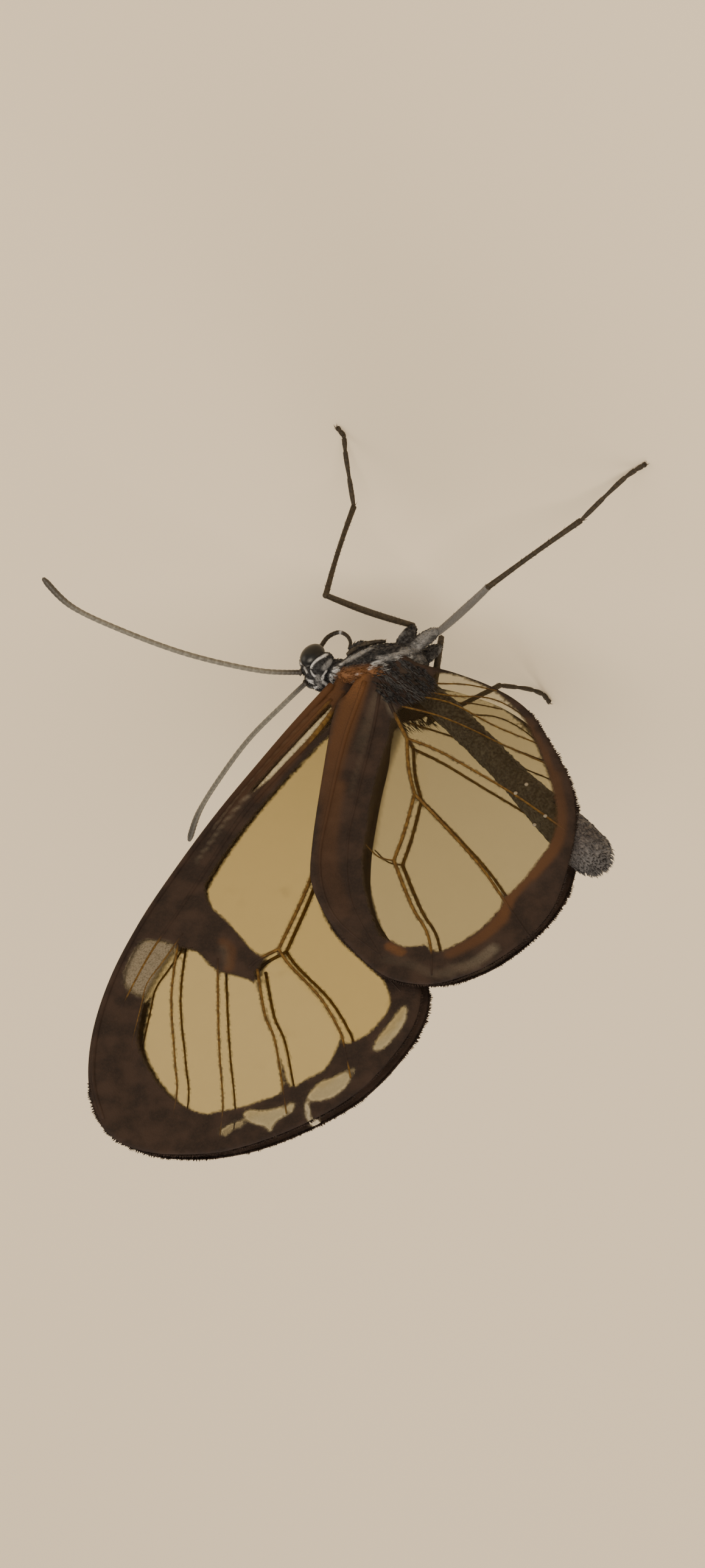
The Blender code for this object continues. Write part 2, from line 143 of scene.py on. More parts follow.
class Shape:
    """Gathers the points and faces of one piece, and the marks that its paint reads."""

    def __init__(self, *mark_names):
        self.mark_names = mark_names
        self.points = []
        self.faces = []
        self.slots = []
        self.marks = []
        self.roots = []
        self.count = 0

    def add(self, points, faces, marks=(), slot=0, root=(0.0, 0.0)):
        points = np.asarray(points, float)
        start = self.count
        self.points.append(points)
        self.marks.append(np.broadcast_to(marks, (len(points), len(self.mark_names))))
        self.faces += [[start + i for i in face] for face in faces]
        self.slots += [slot] * len(faces)
        self.roots += [root] * len(faces)
        self.count += len(points)


# A tuft's patch on its unwrap
PATCH = 0.003


def make_piece(name, shape, paints, nodes=(), coat=False):
    """One object of the render, from a shape in millimetres."""
    mesh = bpy.data.meshes.new(name)
    mesh.from_pydata(in_frame(np.vstack(shape.points)).tolist(), [], shape.faces)
    for paint in paints:
        mesh.materials.append(paint)
    mesh.polygons.foreach_set("material_index", shape.slots)
    mesh.polygons.foreach_set("use_smooth", [True] * len(mesh.polygons))
    marks = np.vstack(shape.marks)
    for i, mark in enumerate(shape.mark_names):
        layer = mesh.attributes.new(mark, "FLOAT", "POINT")
        layer.data.foreach_set("value", np.ascontiguousarray(marks[:, i], dtype=np.float32))
    if coat:
        layer = mesh.uv_layers.new(name="OFBake")
        for face, root in zip(mesh.polygons, shape.roots):
            for k, corner in enumerate(face.loop_indices):
                angle = 2 * math.pi * k / face.loop_total
                layer.data[corner].uv = (
                    root[0] + PATCH / 2 * math.cos(angle),
                    root[1] + PATCH / 2 * math.sin(angle),
                )
    mesh.validate()
    piece = add_object(name, mesh)
    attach(piece, "root")
    if nodes:
        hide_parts(*nodes)


TUBE_SIDES = 12
TUBE_CAP = 0.6
FIRST_NORMAL = np.array((0.013, 0.017, 1.0))


def tube(path, radii, sides=TUBE_SIDES, squeeze=1.0):
    """Points and faces of a closed tube with blunt ends. radii has one value for each point."""
    normal = FIRST_NORMAL
    points = []
    for i, point in enumerate(path):
        along = unit(path[min(i + 1, len(path) - 1)] - path[max(i - 1, 0)])
        normal = square_to(normal, along)
        across = np.cross(along, normal) * squeeze
        for k in range(sides):
            angle = 2 * math.pi * k / sides
            points.append(point + radii[i] * (math.cos(angle) * normal + math.sin(angle) * across))
    faces = []
    for i in range(len(path) - 1):
        for k in range(sides):
            near, far = i * sides, (i + 1) * sides
            faces.append((near + k, near + (k + 1) % sides, far + (k + 1) % sides, far + k))
    points.append(path[0] + unit(path[0] - path[1]) * radii[0] * TUBE_CAP)
    points.append(path[-1] + unit(path[-1] - path[-2]) * radii[-1] * TUBE_CAP)
    end = (len(path) - 1) * sides
    for k in range(sides):
        faces.append(((k + 1) % sides, k, len(points) - 2))
        faces.append((end + k, end + (k + 1) % sides, len(points) - 1))
    return np.array(points), faces


def along_tube(values, sides=TUBE_SIDES):
    """Rows given for each point of a tube's path, repeated for the points that tube() makes."""
    return np.vstack((np.repeat(values, sides, axis=0), values[[0, -1]]))


BLADE_FLATNESS = 0.35
BLADE_MIDDLE = 0.75


def spike(root, tip, width, spin=0.0, bend=(0.0, 0.0, 0.0)):
    """Points and faces of a thin closed blade from root to tip, bent aside by bend."""
    root = Vector(root)
    tip = Vector(tip)
    along = (tip - root).normalized()
    flat = along.orthogonal().normalized()
    flat = Matrix.Rotation(spin, 3, along) @ flat
    thin = along.cross(flat) * BLADE_FLATNESS
    middle = root.lerp(tip, 0.5) + Vector(bend)
    corners = [flat, -0.5 * flat + thin, -0.5 * flat - thin]
    points = [root + c * width for c in corners]
    points += [middle + c * width * BLADE_MIDDLE for c in corners]
    points.append(tip)
    faces = [(0, 1, 4, 3), (1, 2, 5, 4), (2, 0, 3, 5), (3, 4, 6), (4, 5, 6), (5, 3, 6), (2, 1, 0)]
    return points, faces


class Paint:
    """One procedural material. Its textures run in millimetres of the object's own space."""

    def __init__(self, name, **sockets):
        self.material = bpy.data.materials.new(name)
        self.material.use_nodes = True
        self.tree = self.material.node_tree
        self.shader = self.tree.nodes["Principled BSDF"]
        self.set(**sockets)
        place = self.node("ShaderNodeTexCoord").outputs["Object"]
        inputs = {"Vector": place, "Scale": (1 / MM, 1 / MM, 1 / MM)}
        self.place = self.node("ShaderNodeMapping", inputs).outputs["Vector"]

    def feed(self, socket, value):
        """Links a socket to another one, or sets it to a number, a vector or a colour."""
        if isinstance(value, bpy.types.NodeSocket):
            self.tree.links.new(value, socket)
        elif socket.type == "RGBA":
            socket.default_value = (*value, 1.0)
        else:
            socket.default_value = value

    def set(self, **sockets):
        for name, value in sockets.items():
            self.feed(self.shader.inputs[name.replace("_", " ")], value)

    def node(self, kind, inputs=None, **settings):
        node = self.tree.nodes.new(kind)
        for name, value in settings.items():
            setattr(node, name, value)
        for name, value in (inputs or {}).items():
            self.feed(node.inputs[name], value)
        return node

    def mark(self, name):
        return self.node("ShaderNodeAttribute", attribute_name=name).outputs["Fac"]

    def noise(self, scale, detail=3.0):
        inputs = {"Vector": self.place, "Scale": scale, "Detail": detail}
        return self.node("ShaderNodeTexNoise", inputs).outputs["Fac"]

    def cells(self, scale, output="Distance"):
        return self.node("ShaderNodeTexVoronoi", {"Vector": self.place, "Scale": scale}).outputs[output]

    def combine(self, a, b, operation="ADD"):
        node = self.node("ShaderNodeMath", operation=operation)
        self.feed(node.inputs[0], a)
        self.feed(node.inputs[1], b)
        return node.outputs[0]

    def times(self, a, b):
        return self.combine(a, b, "MULTIPLY")

    def step(self, value, low, high, to_low=0.0, to_high=1.0):
        inputs = {"Value": value, "From Min": low, "From Max": high, "To Min": to_low, "To Max": to_high}
        return self.node("ShaderNodeMapRange", inputs, interpolation_type="SMOOTHSTEP").outputs["Result"]

    def mix(self, amount, a, b):
        node = self.node("ShaderNodeMix", data_type="RGBA")
        self.feed(node.inputs["Factor"], amount)
        colours = [socket for socket in node.inputs if socket.type == "RGBA"]
        for socket, value in zip(colours, (a, b)):
            self.feed(socket, value)
        return [socket for socket in node.outputs if socket.type == "RGBA"][0]

    def bump(self, height, distance, strength):
        inputs = {"Height": height, "Distance": distance * MM, "Strength": strength}
        self.set(Normal=self.node("ShaderNodeBump", inputs).outputs["Normal"])

    def see_through(self, cover, tint):
        """Light passes, coloured by tint, where cover is low."""
        clear = self.node("ShaderNodeBsdfTransparent", {"Color": tint}).outputs["BSDF"]
        mixed = self.node("ShaderNodeMixShader", {"Fac": cover})
        self.feed(mixed.inputs[1], clear)
        self.feed(mixed.inputs[2], self.shader.outputs["BSDF"])
        self.feed(self.tree.nodes["Material Output"].inputs["Surface"], mixed.outputs["Shader"])


# Colours, linear
DARK_SCALE = (0.0175, 0.012, 0.0108)
WARM_SCALE = (0.034, 0.0215, 0.0175)
RUFOUS = (0.07, 0.033, 0.016)
ORANGE = (0.165, 0.072, 0.027)
PALE_SCALE = (0.22, 0.19, 0.145)
CLEAR_TINT = (0.93, 0.93, 0.9)
AMBER_TINT = (0.862, 0.826, 0.69)
HAZE = (0.05, 0.036, 0.02)
VEIN_BROWN = (0.07, 0.037, 0.01)
VEIN_GOLD = (0.14, 0.08, 0.021)
BODY_BLACK = (0.011, 0.0105, 0.012)
BODY_GREY = (0.045, 0.044, 0.047)
HEAD_GREY = (0.025, 0.025, 0.028)
HAIR_WHITE = (0.56, 0.555, 0.57)
ABDOMEN_DARK = (0.038, 0.034, 0.037)
ABDOMEN_GREY = (0.095, 0.086, 0.087)
LEG_BROWN = (0.018, 0.012, 0.006)
LEG_GOLD = (0.038, 0.026, 0.013)
ANTENNA_GREY = (0.175, 0.16, 0.13)
ANTENNA_DARK = (0.02, 0.015, 0.011)
SCALED_COVER = 0.985
CLEAR_COVER = 0.02
SMUDGE_COVER = 0.1
WINDOW_COVER = 0.85

# How fine the textures are, in features to a millimetre
WING_SCALES = 11.0
WING_GRAIN = 16.0
WING_CLOUDS = 1.1
WING_FRAY = 7.0
WING_SMUDGES = 0.8
WING_CREASES = 2.5
VEIN_CLOUDS = 5.0
VEIN_RIDGES = 14.0
BODY_CLOUDS = 9.0
BODY_GRAIN = 20.0
BODY_SCALES = 14.0
EYE_CLOUDS = 3.0
EYE_FACETS = 30.0
EYE_TINTS = ((0.003, 0.003, 0.0035), (0.008, 0.0075, 0.007))
ANTENNA_CLOUDS = 8.0
ANTENNA_RIDGES = 18.0
FRAY_WIDTH = 0.24


def scale_tint(paint):
    """The wing's scales: dark brown in two tones, warmed by a mark."""
    grain = paint.noise(WING_GRAIN, 2.0)
    tint = paint.mix(paint.step(paint.noise(WING_CLOUDS), 0.35, 0.7), DARK_SCALE, WARM_SCALE)
    tint = paint.mix(paint.step(paint.cells(WING_SCALES, "Color"), 0.2, 1.0, 0.0, 0.35), tint, WARM_SCALE)
    warmth = paint.mark("rufous")
    tint = paint.mix(paint.step(warmth, 0.0, 0.5), tint, RUFOUS)
    warmth = paint.times(warmth, paint.step(grain, 0.2, 0.6, 0.75, 1.0))
    return paint.mix(paint.step(warmth, 0.4, 1.0), tint, ORANGE)


def membrane_paint():
    """Clear amber between the cells' edges, and scales beyond them that fray out at the edge."""
    paint = Paint("wing_membrane", Specular_IOR_Level=0.12)
    fray = paint.combine(paint.noise(WING_FRAY, 4.0), 0.5, "SUBTRACT")
    edge = paint.combine(paint.mark("edge"), paint.times(fray, FRAY_WIDTH))
    scaled = paint.combine(paint.step(edge, -0.1, 0.14), paint.mark("dust"), "MAXIMUM")
    smudge = paint.step(paint.noise(WING_SMUDGES, 4.0), 0.5, 0.8, CLEAR_COVER, SMUDGE_COVER)
    haze = paint.mix(paint.step(smudge, CLEAR_COVER, SMUDGE_COVER), HAZE, WARM_SCALE)
    tint = paint.mix(scaled, haze, scale_tint(paint))
    grain = paint.step(paint.noise(WING_GRAIN, 2.0), 0.2, 0.6, 0.6, 1.0)
    pale = paint.times(paint.mark("pale"), grain)
    paint.set(Base_Color=paint.mix(pale, tint, PALE_SCALE))
    paint.set(Roughness=paint.step(scaled, 0.0, 1.0, 0.25, 0.65))
    rows = paint.times(paint.cells(WING_SCALES), scaled)
    creases = paint.times(paint.noise(WING_CREASES, 2.0), 0.4)
    paint.bump(paint.combine(rows, creases), 0.03, 0.4)
    cover = paint.combine(paint.times(scaled, SCALED_COVER), smudge, "MAXIMUM")
    cover = paint.combine(cover, paint.times(pale, WINDOW_COVER), "MAXIMUM")
    paint.see_through(cover, paint.mix(paint.mark("amber"), CLEAR_TINT, AMBER_TINT))
    return paint.material


def vein_paint():
    """Veins are golden brown, and lie under scales where the membrane is scaled."""
    paint = Paint("wing_vein", Roughness=0.65, Specular_IOR_Level=0.1)
    tint = paint.mix(paint.step(paint.noise(VEIN_CLOUDS), 0.35, 0.7), VEIN_BROWN, VEIN_GOLD)
    paint.set(Base_Color=paint.mix(paint.mark("edge"), tint, scale_tint(paint)))
    paint.bump(paint.noise(VEIN_RIDGES), 0.01, 0.4)
    return paint.material


def scale_paint(name, low, high, warm=RUFOUS, roughness=0.6):
    """Close scales or hair: two tones of one colour, warmed and whitened by the marks."""
    paint = Paint(name, Roughness=roughness, Specular_IOR_Level=0.2)
    tint = paint.mix(paint.step(paint.noise(BODY_CLOUDS), 0.35, 0.68), low, high)
    tint = paint.mix(paint.mark("rufous"), tint, warm)
    grain = paint.step(paint.noise(BODY_GRAIN), 0.25, 0.6, 0.6, 1.0)
    tint = paint.mix(paint.times(paint.mark("pale"), grain), tint, HAIR_WHITE)
    paint.set(Base_Color=tint)
    paint.bump(paint.cells(BODY_SCALES), 0.02, 0.6)
    return paint.material


def eye_paint():
    paint = Paint("eye_black", Roughness=0.32, Specular_IOR_Level=0.35)
    paint.set(Base_Color=paint.mix(paint.step(paint.noise(EYE_CLOUDS), 0.3, 0.8), *EYE_TINTS))
    paint.bump(paint.cells(EYE_FACETS), 0.004, 0.5)
    return paint.material


def antenna_paint():
    paint = Paint("antenna_rings", Roughness=0.5)
    tint = paint.mix(paint.mark("pale"), ANTENNA_DARK, ANTENNA_GREY)
    tint = paint.mix(paint.step(paint.noise(ANTENNA_CLOUDS), 0.4, 0.7, 0.0, 0.4), tint, ANTENNA_DARK)
    paint.set(Base_Color=tint)
    paint.bump(paint.noise(ANTENNA_RIDGES), 0.01, 0.5)
    return paint.material


# Wings. Every line is (x, z), drawn for the right wing, on a surface that closes towards the other
# wing away from the body, so that it runs on one height |y| above each point.
ABDOMEN_LINE = np.array(((-2.2, 6.75), (-13.7, 15.1)))
FOREWING_Y = 0.28
HINDWING_OUT_Y = 0.92
HINDWING_IN_Y = 0.55
CLOSES_ABOVE_ABDOMEN = (0.8, 3.4)


def forewing_height(points):
    return np.full(len(points), FOREWING_Y)


def hindwing_height(points):
    """The hindwing bulges round the abdomen and closes above it."""
    along = unit(ABDOMEN_LINE[1] - ABDOMEN_LINE[0])
    above = (points - ABDOMEN_LINE[0]) @ np.array((along[1], -along[0]))
    closed = soft_step(above, *CLOSES_ABOVE_ABDOMEN)
    return HINDWING_OUT_Y + (HINDWING_IN_Y - HINDWING_OUT_Y) * closed


# A cell is its amber tint and its outline. A stroke is a line, its width, and its strength at its
# start and end. A vein is a line, and its radius at its start and end. A window is its tint, its
# haze and its outline. Smoke darkens the whole membrane, and the seed is its fringe's.
FOREWING = {
    "height": forewing_height,
    "outline": [
        (0.9, 7.0), (1.4, 8.9), (2.0, 10.4), (2.8, 13.2), (3.6, 16.3), (4.2, 19.5), (4.7, 23.2),
        (4.8, 26.5), (4.4, 29.6), (3.5, 32.2), (2.2, 34.0), (0.5, 34.8), (-1.6, 34.6), (-3.8, 33.7),
        (-6.0, 31.9), (-7.8, 29.6), (-8.8, 26.7), (-8.9, 24.6), (-8.2, 23.0), (-6.5, 21.8),
        (-4.8, 20.0), (-3.8, 17.5), (-3.1, 14.3), (-2.6, 11.4), (-1.7, 9.0), (-0.9, 6.8),
    ],
    "fringe": ((3.5, 32.2), (-8.2, 23.0)),
    "cells": {
        "costal slit": (0.15, [
            (1.0, 9.3), (1.3, 10.4), (1.7, 11.9), (2.2, 13.5), (2.6, 15.1), (1.8, 13.5), (1.2, 12.0),
            (0.5, 10.3),
        ]),
        "discal": (0.87, [
            (-0.3, 9.4), (0.25, 10.9), (0.75, 12.2), (1.65, 15.1), (2.3, 17.9), (2.6, 20.2), (2.5, 20.9),
            (1.9, 21.7), (0.9, 22.3), (-0.6, 23.4), (-1.3, 23.6), (-1.8, 23.1), (-1.9, 20.5), (-1.7, 17.0),
            (-1.1, 13.0),
        ]),
        "postdiscal": (0.75, [
            (1.7, 24.2), (2.7, 24.4), (3.0, 26.1), (2.6, 28.6), (2.0, 29.9), (0.6, 31.3), (-0.8, 32.1),
            (-1.9, 32.3), (-2.4, 32.0), (-3.2, 31.6), (-3.9, 31.1), (-4.7, 30.2), (-4.1, 28.95),
            (-2.5, 26.5), (-1.5, 25.2), (-0.6, 25.0), (0.5, 24.9),
        ]),
        "cubital": (0.8, [
            (-1.75, 23.1), (-2.5, 23.8), (-4.5, 25.2), (-5.6, 26.2), (-6.1, 26.9), (-6.1, 28.6),
            (-5.5, 29.4), (-5.0, 29.9), (-4.2, 28.9), (-2.5, 26.4), (-1.45, 24.9), (-1.3, 24.4),
        ]),
        "rear": (0.9, [
            (-1.9, 19.2), (-2.6, 20.2), (-3.3, 21.1), (-4.3, 22.0), (-6.3, 23.2), (-7.0, 23.7),
            (-7.6, 24.8), (-7.3, 26.2), (-6.9, 26.8), (-6.4, 27.1), (-5.7, 26.3), (-4.5, 25.2),
            (-2.6, 23.9), (-1.8, 23.2), (-1.75, 20.5),
        ]),
        "root": (0.9, [
            (-1.2, 9.6), (-1.1, 13.0), (-1.7, 17.0), (-1.9, 19.4), (-2.5, 18.8), (-2.6, 16.0), (-2.0, 12.0),
        ]),
    },
    "windows": {
        "subapical": (0.4, 0.9, [
            (4.2, 24.4), (3.6, 24.1), (2.7, 24.2), (2.8, 25.2), (2.9, 26.3), (3.0, 27.1), (3.6, 27.0),
            (4.1, 26.6), (4.3, 25.7),
        ]),
        "first lunule": (0.3, 0.25, [
            (-8.2, 24.6), (-8.5, 25.2), (-8.4, 26.2), (-8.1, 27.0), (-7.8, 27.2), (-7.7, 26.7),
            (-7.9, 25.8),
        ]),
        "second lunule": (0.3, 0.25, [
            (-7.2, 28.3), (-7.3, 28.8), (-7.2, 29.5), (-6.9, 30.0), (-6.5, 30.3), (-5.9, 30.4),
            (-6.1, 29.5), (-6.6, 29.0),
        ]),
        "tear": (0.0, 0.3, [
            (-5.9, 30.6), (-6.1, 30.7), (-6.3, 31.1), (-6.6, 31.5), (-6.2, 31.3),
        ]),
        "third lunule": (0.3, 0.25, [
            (-5.4, 30.7), (-5.5, 31.1), (-5.3, 31.4), (-5.0, 31.9), (-5.0, 32.4), (-4.6, 32.2),
            (-4.0, 32.2), (-3.6, 31.9), (-3.7, 31.6), (-4.3, 31.5), (-4.9, 31.1),
        ]),
        "fourth lunule": (0.4, 0.45, [
            (-3.7, 32.2), (-3.7, 32.5), (-3.4, 32.7), (-3.2, 33.1), (-2.9, 32.9), (-3.3, 32.4),
        ]),
    },
    "veins": [
        ([(1.3, 8.2), (2.1, 10.9), (2.75, 13.4), (3.5, 16.5), (4.1, 19.7), (4.6, 23.3), (4.65, 26.5),
          (4.25, 29.4), (3.4, 31.9), (2.2, 33.7)], 0.2, 0.09),
        ([(0.5, 8.6), (1.0, 11.2), (1.8, 13.8), (2.5, 16.5), (2.9, 19.6), (3.2, 22.0), (3.6, 25.0),
          (3.7, 28.0)], 0.17, 0.05),
        ([(1.0, 9.0), (2.0, 12.0), (3.0, 15.6), (3.5, 18.4)], 0.1, 0.04),
        ([(2.6, 23.4), (2.9, 25.2), (3.1, 26.4), (2.9, 27.6), (2.3, 30.5), (1.3, 32.9)], 0.055, 0.035),
        ([(2.6, 24.0), (1.8, 26.8), (0.4, 29.9), (-0.4, 31.7), (-0.8, 33.9)], 0.06, 0.035),
        ([(0.6, 24.3), (-0.6, 27.3), (-1.5, 29.4), (-2.5, 31.6), (-3.0, 33.3)], 0.06, 0.035),
        ([(-1.3, 24.4), (-2.5, 26.6), (-3.3, 27.6), (-4.1, 29.0), (-5.3, 31.3)], 0.075, 0.04),
        ([(0.0, 8.6), (-0.7, 13.0), (-1.5, 17.0), (-1.8, 19.5), (-1.8, 23.1)], 0.12, 0.08),
        ([(-1.8, 23.1), (-1.2, 23.8), (-0.9, 24.4)], 0.08, 0.08),
        ([(-1.8, 23.1), (-2.6, 23.8), (-4.5, 25.1), (-5.9, 26.5), (-6.5, 27.4), (-7.3, 28.8)], 0.08, 0.05),
        ([(-1.0, 9.0), (-1.7, 13.0), (-2.4, 17.0), (-3.4, 20.4), (-5.6, 22.3), (-7.8, 23.9)], 0.1, 0.05),
    ],
    "rufous": [
        ([(1.1, 7.6), (1.5, 9.6), (2.1, 12.0), (2.8, 14.4), (3.4, 17.0)], 0.7, 0.58, 0.1),
        ([(0.8, 8.6), (1.1, 10.8), (1.7, 13.4), (2.2, 15.4)], 0.45, 0.45, 0.15),
        ([(-0.3, 7.6), (-0.9, 10.0), (-1.5, 13.0)], 0.9, 0.6, 0.25),
        ([(-0.1, 24.7), (0.0, 24.3), (0.2, 23.7), (0.7, 23.4)], 0.4, 0.3, 0.25),
    ],
    "pale": [
        ([(1.6, 9.6), (2.3, 12.0), (3.0, 14.8), (3.5, 17.4)], 0.12, 0.1, 0.2),
        ([(2.6, 15.1), (3.1, 17.0), (3.5, 19.5)], 0.1, 0.35, 0.15),
        ([(0.1, 24.6), (0.3, 24.1), (0.6, 23.7)], 0.3, 0.05, 0.08),
    ],
    "dust": [],
    "smoke": 0.06,
    "seed": 11,
    "glint_specks": [],
}

HINDWING = {
    "height": hindwing_height,
    "outline": [
        (-0.2, 6.8), (0.3, 8.7), (0.5, 9.8), (-0.3, 13.5), (-1.3, 17.5), (-2.1, 19.6), (-3.8, 21.5),
        (-5.9, 23.0), (-7.5, 23.6), (-9.2, 23.3), (-10.7, 22.2), (-11.8, 20.7), (-12.6, 18.9),
        (-12.85, 17.2), (-12.65, 15.1), (-12.25, 13.3), (-11.3, 11.3), (-9.9, 9.6), (-8.2, 7.9),
        (-6.3, 7.0), (-4.2, 6.6), (-2.4, 6.5), (-1.4, 6.2),
    ],
    "fringe": ((-3.8, 21.5), (-8.2, 7.9)),
    "cells": {
        "front": (0.55, [
            (-2.3, 9.6), (-2.5, 10.8), (-2.6, 12.0), (-3.0, 14.5), (-3.4, 16.1), (-3.8, 17.7), (-4.7, 19.6),
            (-5.9, 21.3), (-6.6, 21.6), (-7.4, 21.7), (-8.1, 20.9), (-6.2, 18.6), (-5.15, 17.1),
            (-5.05, 16.0), (-4.75, 13.4), (-3.3, 10.6),
        ]),
        "middle": (0.55, [
            (-8.0, 21.2), (-8.5, 21.6), (-9.0, 21.4), (-9.9, 20.3), (-10.4, 19.1), (-10.4, 18.0),
            (-8.9, 16.6), (-6.8, 15.0), (-4.7, 13.5), (-5.0, 16.0), (-5.1, 17.2), (-6.1, 18.6),
        ]),
        "rear": (0.5, [
            (-10.4, 17.8), (-10.8, 17.4), (-11.3, 16.0), (-11.6, 14.8), (-11.3, 13.2), (-10.4, 11.5),
            (-9.3, 9.9), (-8.0, 8.3), (-6.3, 7.2), (-4.6, 6.75), (-3.4, 6.85), (-3.5, 7.4), (-3.6, 8.0),
            (-3.3, 8.4), (-2.9, 8.8), (-2.4, 9.2), (-2.5, 9.7), (-3.3, 10.6), (-4.7, 13.5), (-6.8, 15.0),
            (-8.9, 16.6),
        ]),
    },
    "windows": {},
    "veins": [
        ([(-0.3, 8.0), (-0.5, 11.0), (-1.2, 15.0), (-2.0, 18.4), (-3.6, 20.9), (-6.2, 22.4)], 0.14, 0.05),
        ([(-1.2, 8.4), (-1.7, 11.0), (-2.2, 14.0), (-2.8, 17.0), (-4.1, 20.0), (-6.5, 22.6)], 0.1, 0.05),
        ([(-1.0, 7.9), (-2.5, 9.7), (-3.3, 10.6)], 0.1, 0.085),
        ([(-3.3, 10.6), (-4.9, 11.0), (-7.0, 11.8), (-9.5, 12.8), (-12.0, 14.0)], 0.075, 0.05),
        ([(-3.3, 10.6), (-3.9, 12.1), (-4.7, 13.5)], 0.085, 0.085),
        ([(-4.7, 13.5), (-6.8, 15.0), (-8.9, 16.6), (-10.3, 17.9), (-12.3, 19.8)], 0.085, 0.06),
        ([(-4.7, 13.5), (-5.0, 15.7), (-5.1, 17.3)], 0.085, 0.085),
        ([(-5.1, 17.3), (-6.2, 18.8), (-7.0, 19.8), (-7.8, 20.6), (-8.4, 21.6), (-8.9, 22.9)], 0.09, 0.06),
        ([(-5.1, 17.3), (-4.4, 17.3), (-3.6, 16.8)], 0.045, 0.03),
        ([(-2.0, 7.6), (-3.5, 7.4), (-4.9, 7.1), (-6.4, 7.1)], 0.045, 0.03),
        ([(-2.3, 8.0), (-4.5, 7.9), (-6.1, 7.6), (-7.4, 7.9), (-8.7, 8.6)], 0.045, 0.03),
        ([(-2.3, 8.4), (-4.5, 8.3), (-7.0, 9.1), (-9.3, 9.6)], 0.05, 0.035),
        ([(-2.5, 9.0), (-4.5, 9.2), (-6.2, 9.6), (-7.9, 10.1), (-10.4, 10.7)], 0.05, 0.035),
    ],
    "rufous": [
        ([(0.2, 7.2), (0.0, 8.4), (-0.1, 9.4)], 0.85, 0.85, 0.5),
        ([(-0.1, 9.2), (-0.3, 11.0), (-0.55, 12.8), (-0.9, 14.8)], 0.85, 0.54, 0.22),
        ([(-1.1, 14.0), (-1.6, 16.0), (-2.4, 18.4), (-3.9, 20.6)], 0.8, 0.3, 0.12),
        ([(-6.6, 21.9), (-7.2, 22.1)], 0.36, 0.55, 0.55),
        ([(-9.3, 21.6), (-10.3, 20.4), (-10.8, 19.2)], 0.5, 0.3, 0.45),
        ([(-10.8, 18.9), (-10.8, 17.9), (-11.3, 16.6)], 0.45, 0.5, 0.35),
        ([(-11.3, 16.6), (-11.8, 15.4), (-11.8, 14.4), (-11.4, 13.0), (-10.5, 11.2)], 0.55, 0.45, 0.25),
        ([(-10.5, 11.2), (-9.4, 9.7), (-8.2, 8.4)], 0.3, 0.3, 0.2),
    ],
    "pale": [
        ([(-9.6, 22.4), (-10.2, 22.1), (-10.7, 21.5), (-11.0, 20.9)], 0.4, 0.12, 0.35),
        ([(-6.6, 22.6), (-7.9, 22.6), (-8.8, 22.8), (-9.7, 22.6)], 0.35, 0.04, 0.12),
        ([(-1.3, 9.8), (-1.6, 12.0), (-1.9, 14.2)], 0.16, 0.1, 0.04),
        ([(-1.2, 8.2), (-1.6, 8.7), (-2.0, 9.2), (-2.4, 9.6)], 0.2, 0.3, 0.2),
        ([(-1.1, 8.6), (-1.2, 10.0), (-1.3, 11.6)], 0.3, 0.12, 0.05),
        ([(-2.0, 7.2), (-2.8, 7.6), (-3.3, 7.9)], 0.7, 0.06, 0.06),
    ],
    "dust": [
        ([(-1.9, 8.6), (-2.2, 10.2), (-2.4, 12.4), (-2.8, 14.6), (-3.3, 16.8)], 0.5, 0.6, 0.45),
    ],
    "smoke": 0.13,
    "seed": 23,
    # Painted glints: spots for pale balls on the hindwing's outer face
    "glint_specks": [(-9.2, 12.6), (-10.9, 13.5), (-10.6, 14.1), (-9.5, 12.0)],
}

# Where each wing lies from the drawn one, turned in degrees round the pivot
WING_PLACES = {
    "forewing_right": {"wing": FOREWING, "side": RIGHT, "shift": (-0.045, 0.075), "turn": 0.0, "scale": 1.0},
    "hindwing_right": {"wing": HINDWING, "side": RIGHT, "shift": (-0.03, 0.06), "turn": 0.0, "scale": 1.0},
    "forewing_left": {"wing": FOREWING, "side": LEFT, "shift": (0.115, -0.235), "turn": 1.2, "scale": 1.0},
    "hindwing_left": {"wing": HINDWING, "side": LEFT, "shift": (-0.03, -0.34), "turn": 0.8, "scale": 0.98},
}
WING_PIVOT = np.array((-0.6, 7.6))
OUTLINE_STEPS = 8
OPENING_STEPS = 5
STROKE_STEPS = 4
MEMBRANE_GRID = 0.2
ROW_SPACING = 0.866
MEMBRANE_THICKNESS = 0.06
RIM_THICKNESS = 0.4
RIM_WIDTH = 0.3
PLEAT_HEIGHT = 0.06
PLEAT_REACH = 1.2
VEIN_STEPS = 5
VEIN_SIDES = 8
VEIN_SLOT = 1
VEIN_FULLNESS = 0.92
VEIN_TAPER = 0.8
VEIN_BORDER = 1.05
THICK_VEIN_COVER = 12.0
TINT_REACH = 0.15
WINDOW_BLUR = (-0.15, 0.1)
FAR_GROWTH = 0.16
FAR_WINDOW_SHIFT = np.array((0.45, 0.0))
# Size, lift and marks of the pale balls that paint glints on the wing
GLINT_SPECK_RADIUS = 0.09
GLINT_SPECK_HEIGHT = 0.06
WING_MARKS = ("edge", "rufous", "pale", "dust", "amber")
GLINT_SPECK_MARKS = (1.0, 0.0, 1.0, 0.0, 0.0)


def placed(points, place):
    """The drawn points of a wing where it lies."""
    angle = math.radians(place["turn"])
    turn = np.array(((math.cos(angle), math.sin(angle)), (-math.sin(angle), math.cos(angle))))
    return (points - WING_PIVOT) @ turn * place["scale"] + WING_PIVOT + place["shift"]


def raised(points, height, place):
    """The drawn points of a wing where it lies, at their height on its side of the body."""
    spot = placed(points, place)
    return np.column_stack((spot[:, 0], place["side"] * height, spot[:, 1]))


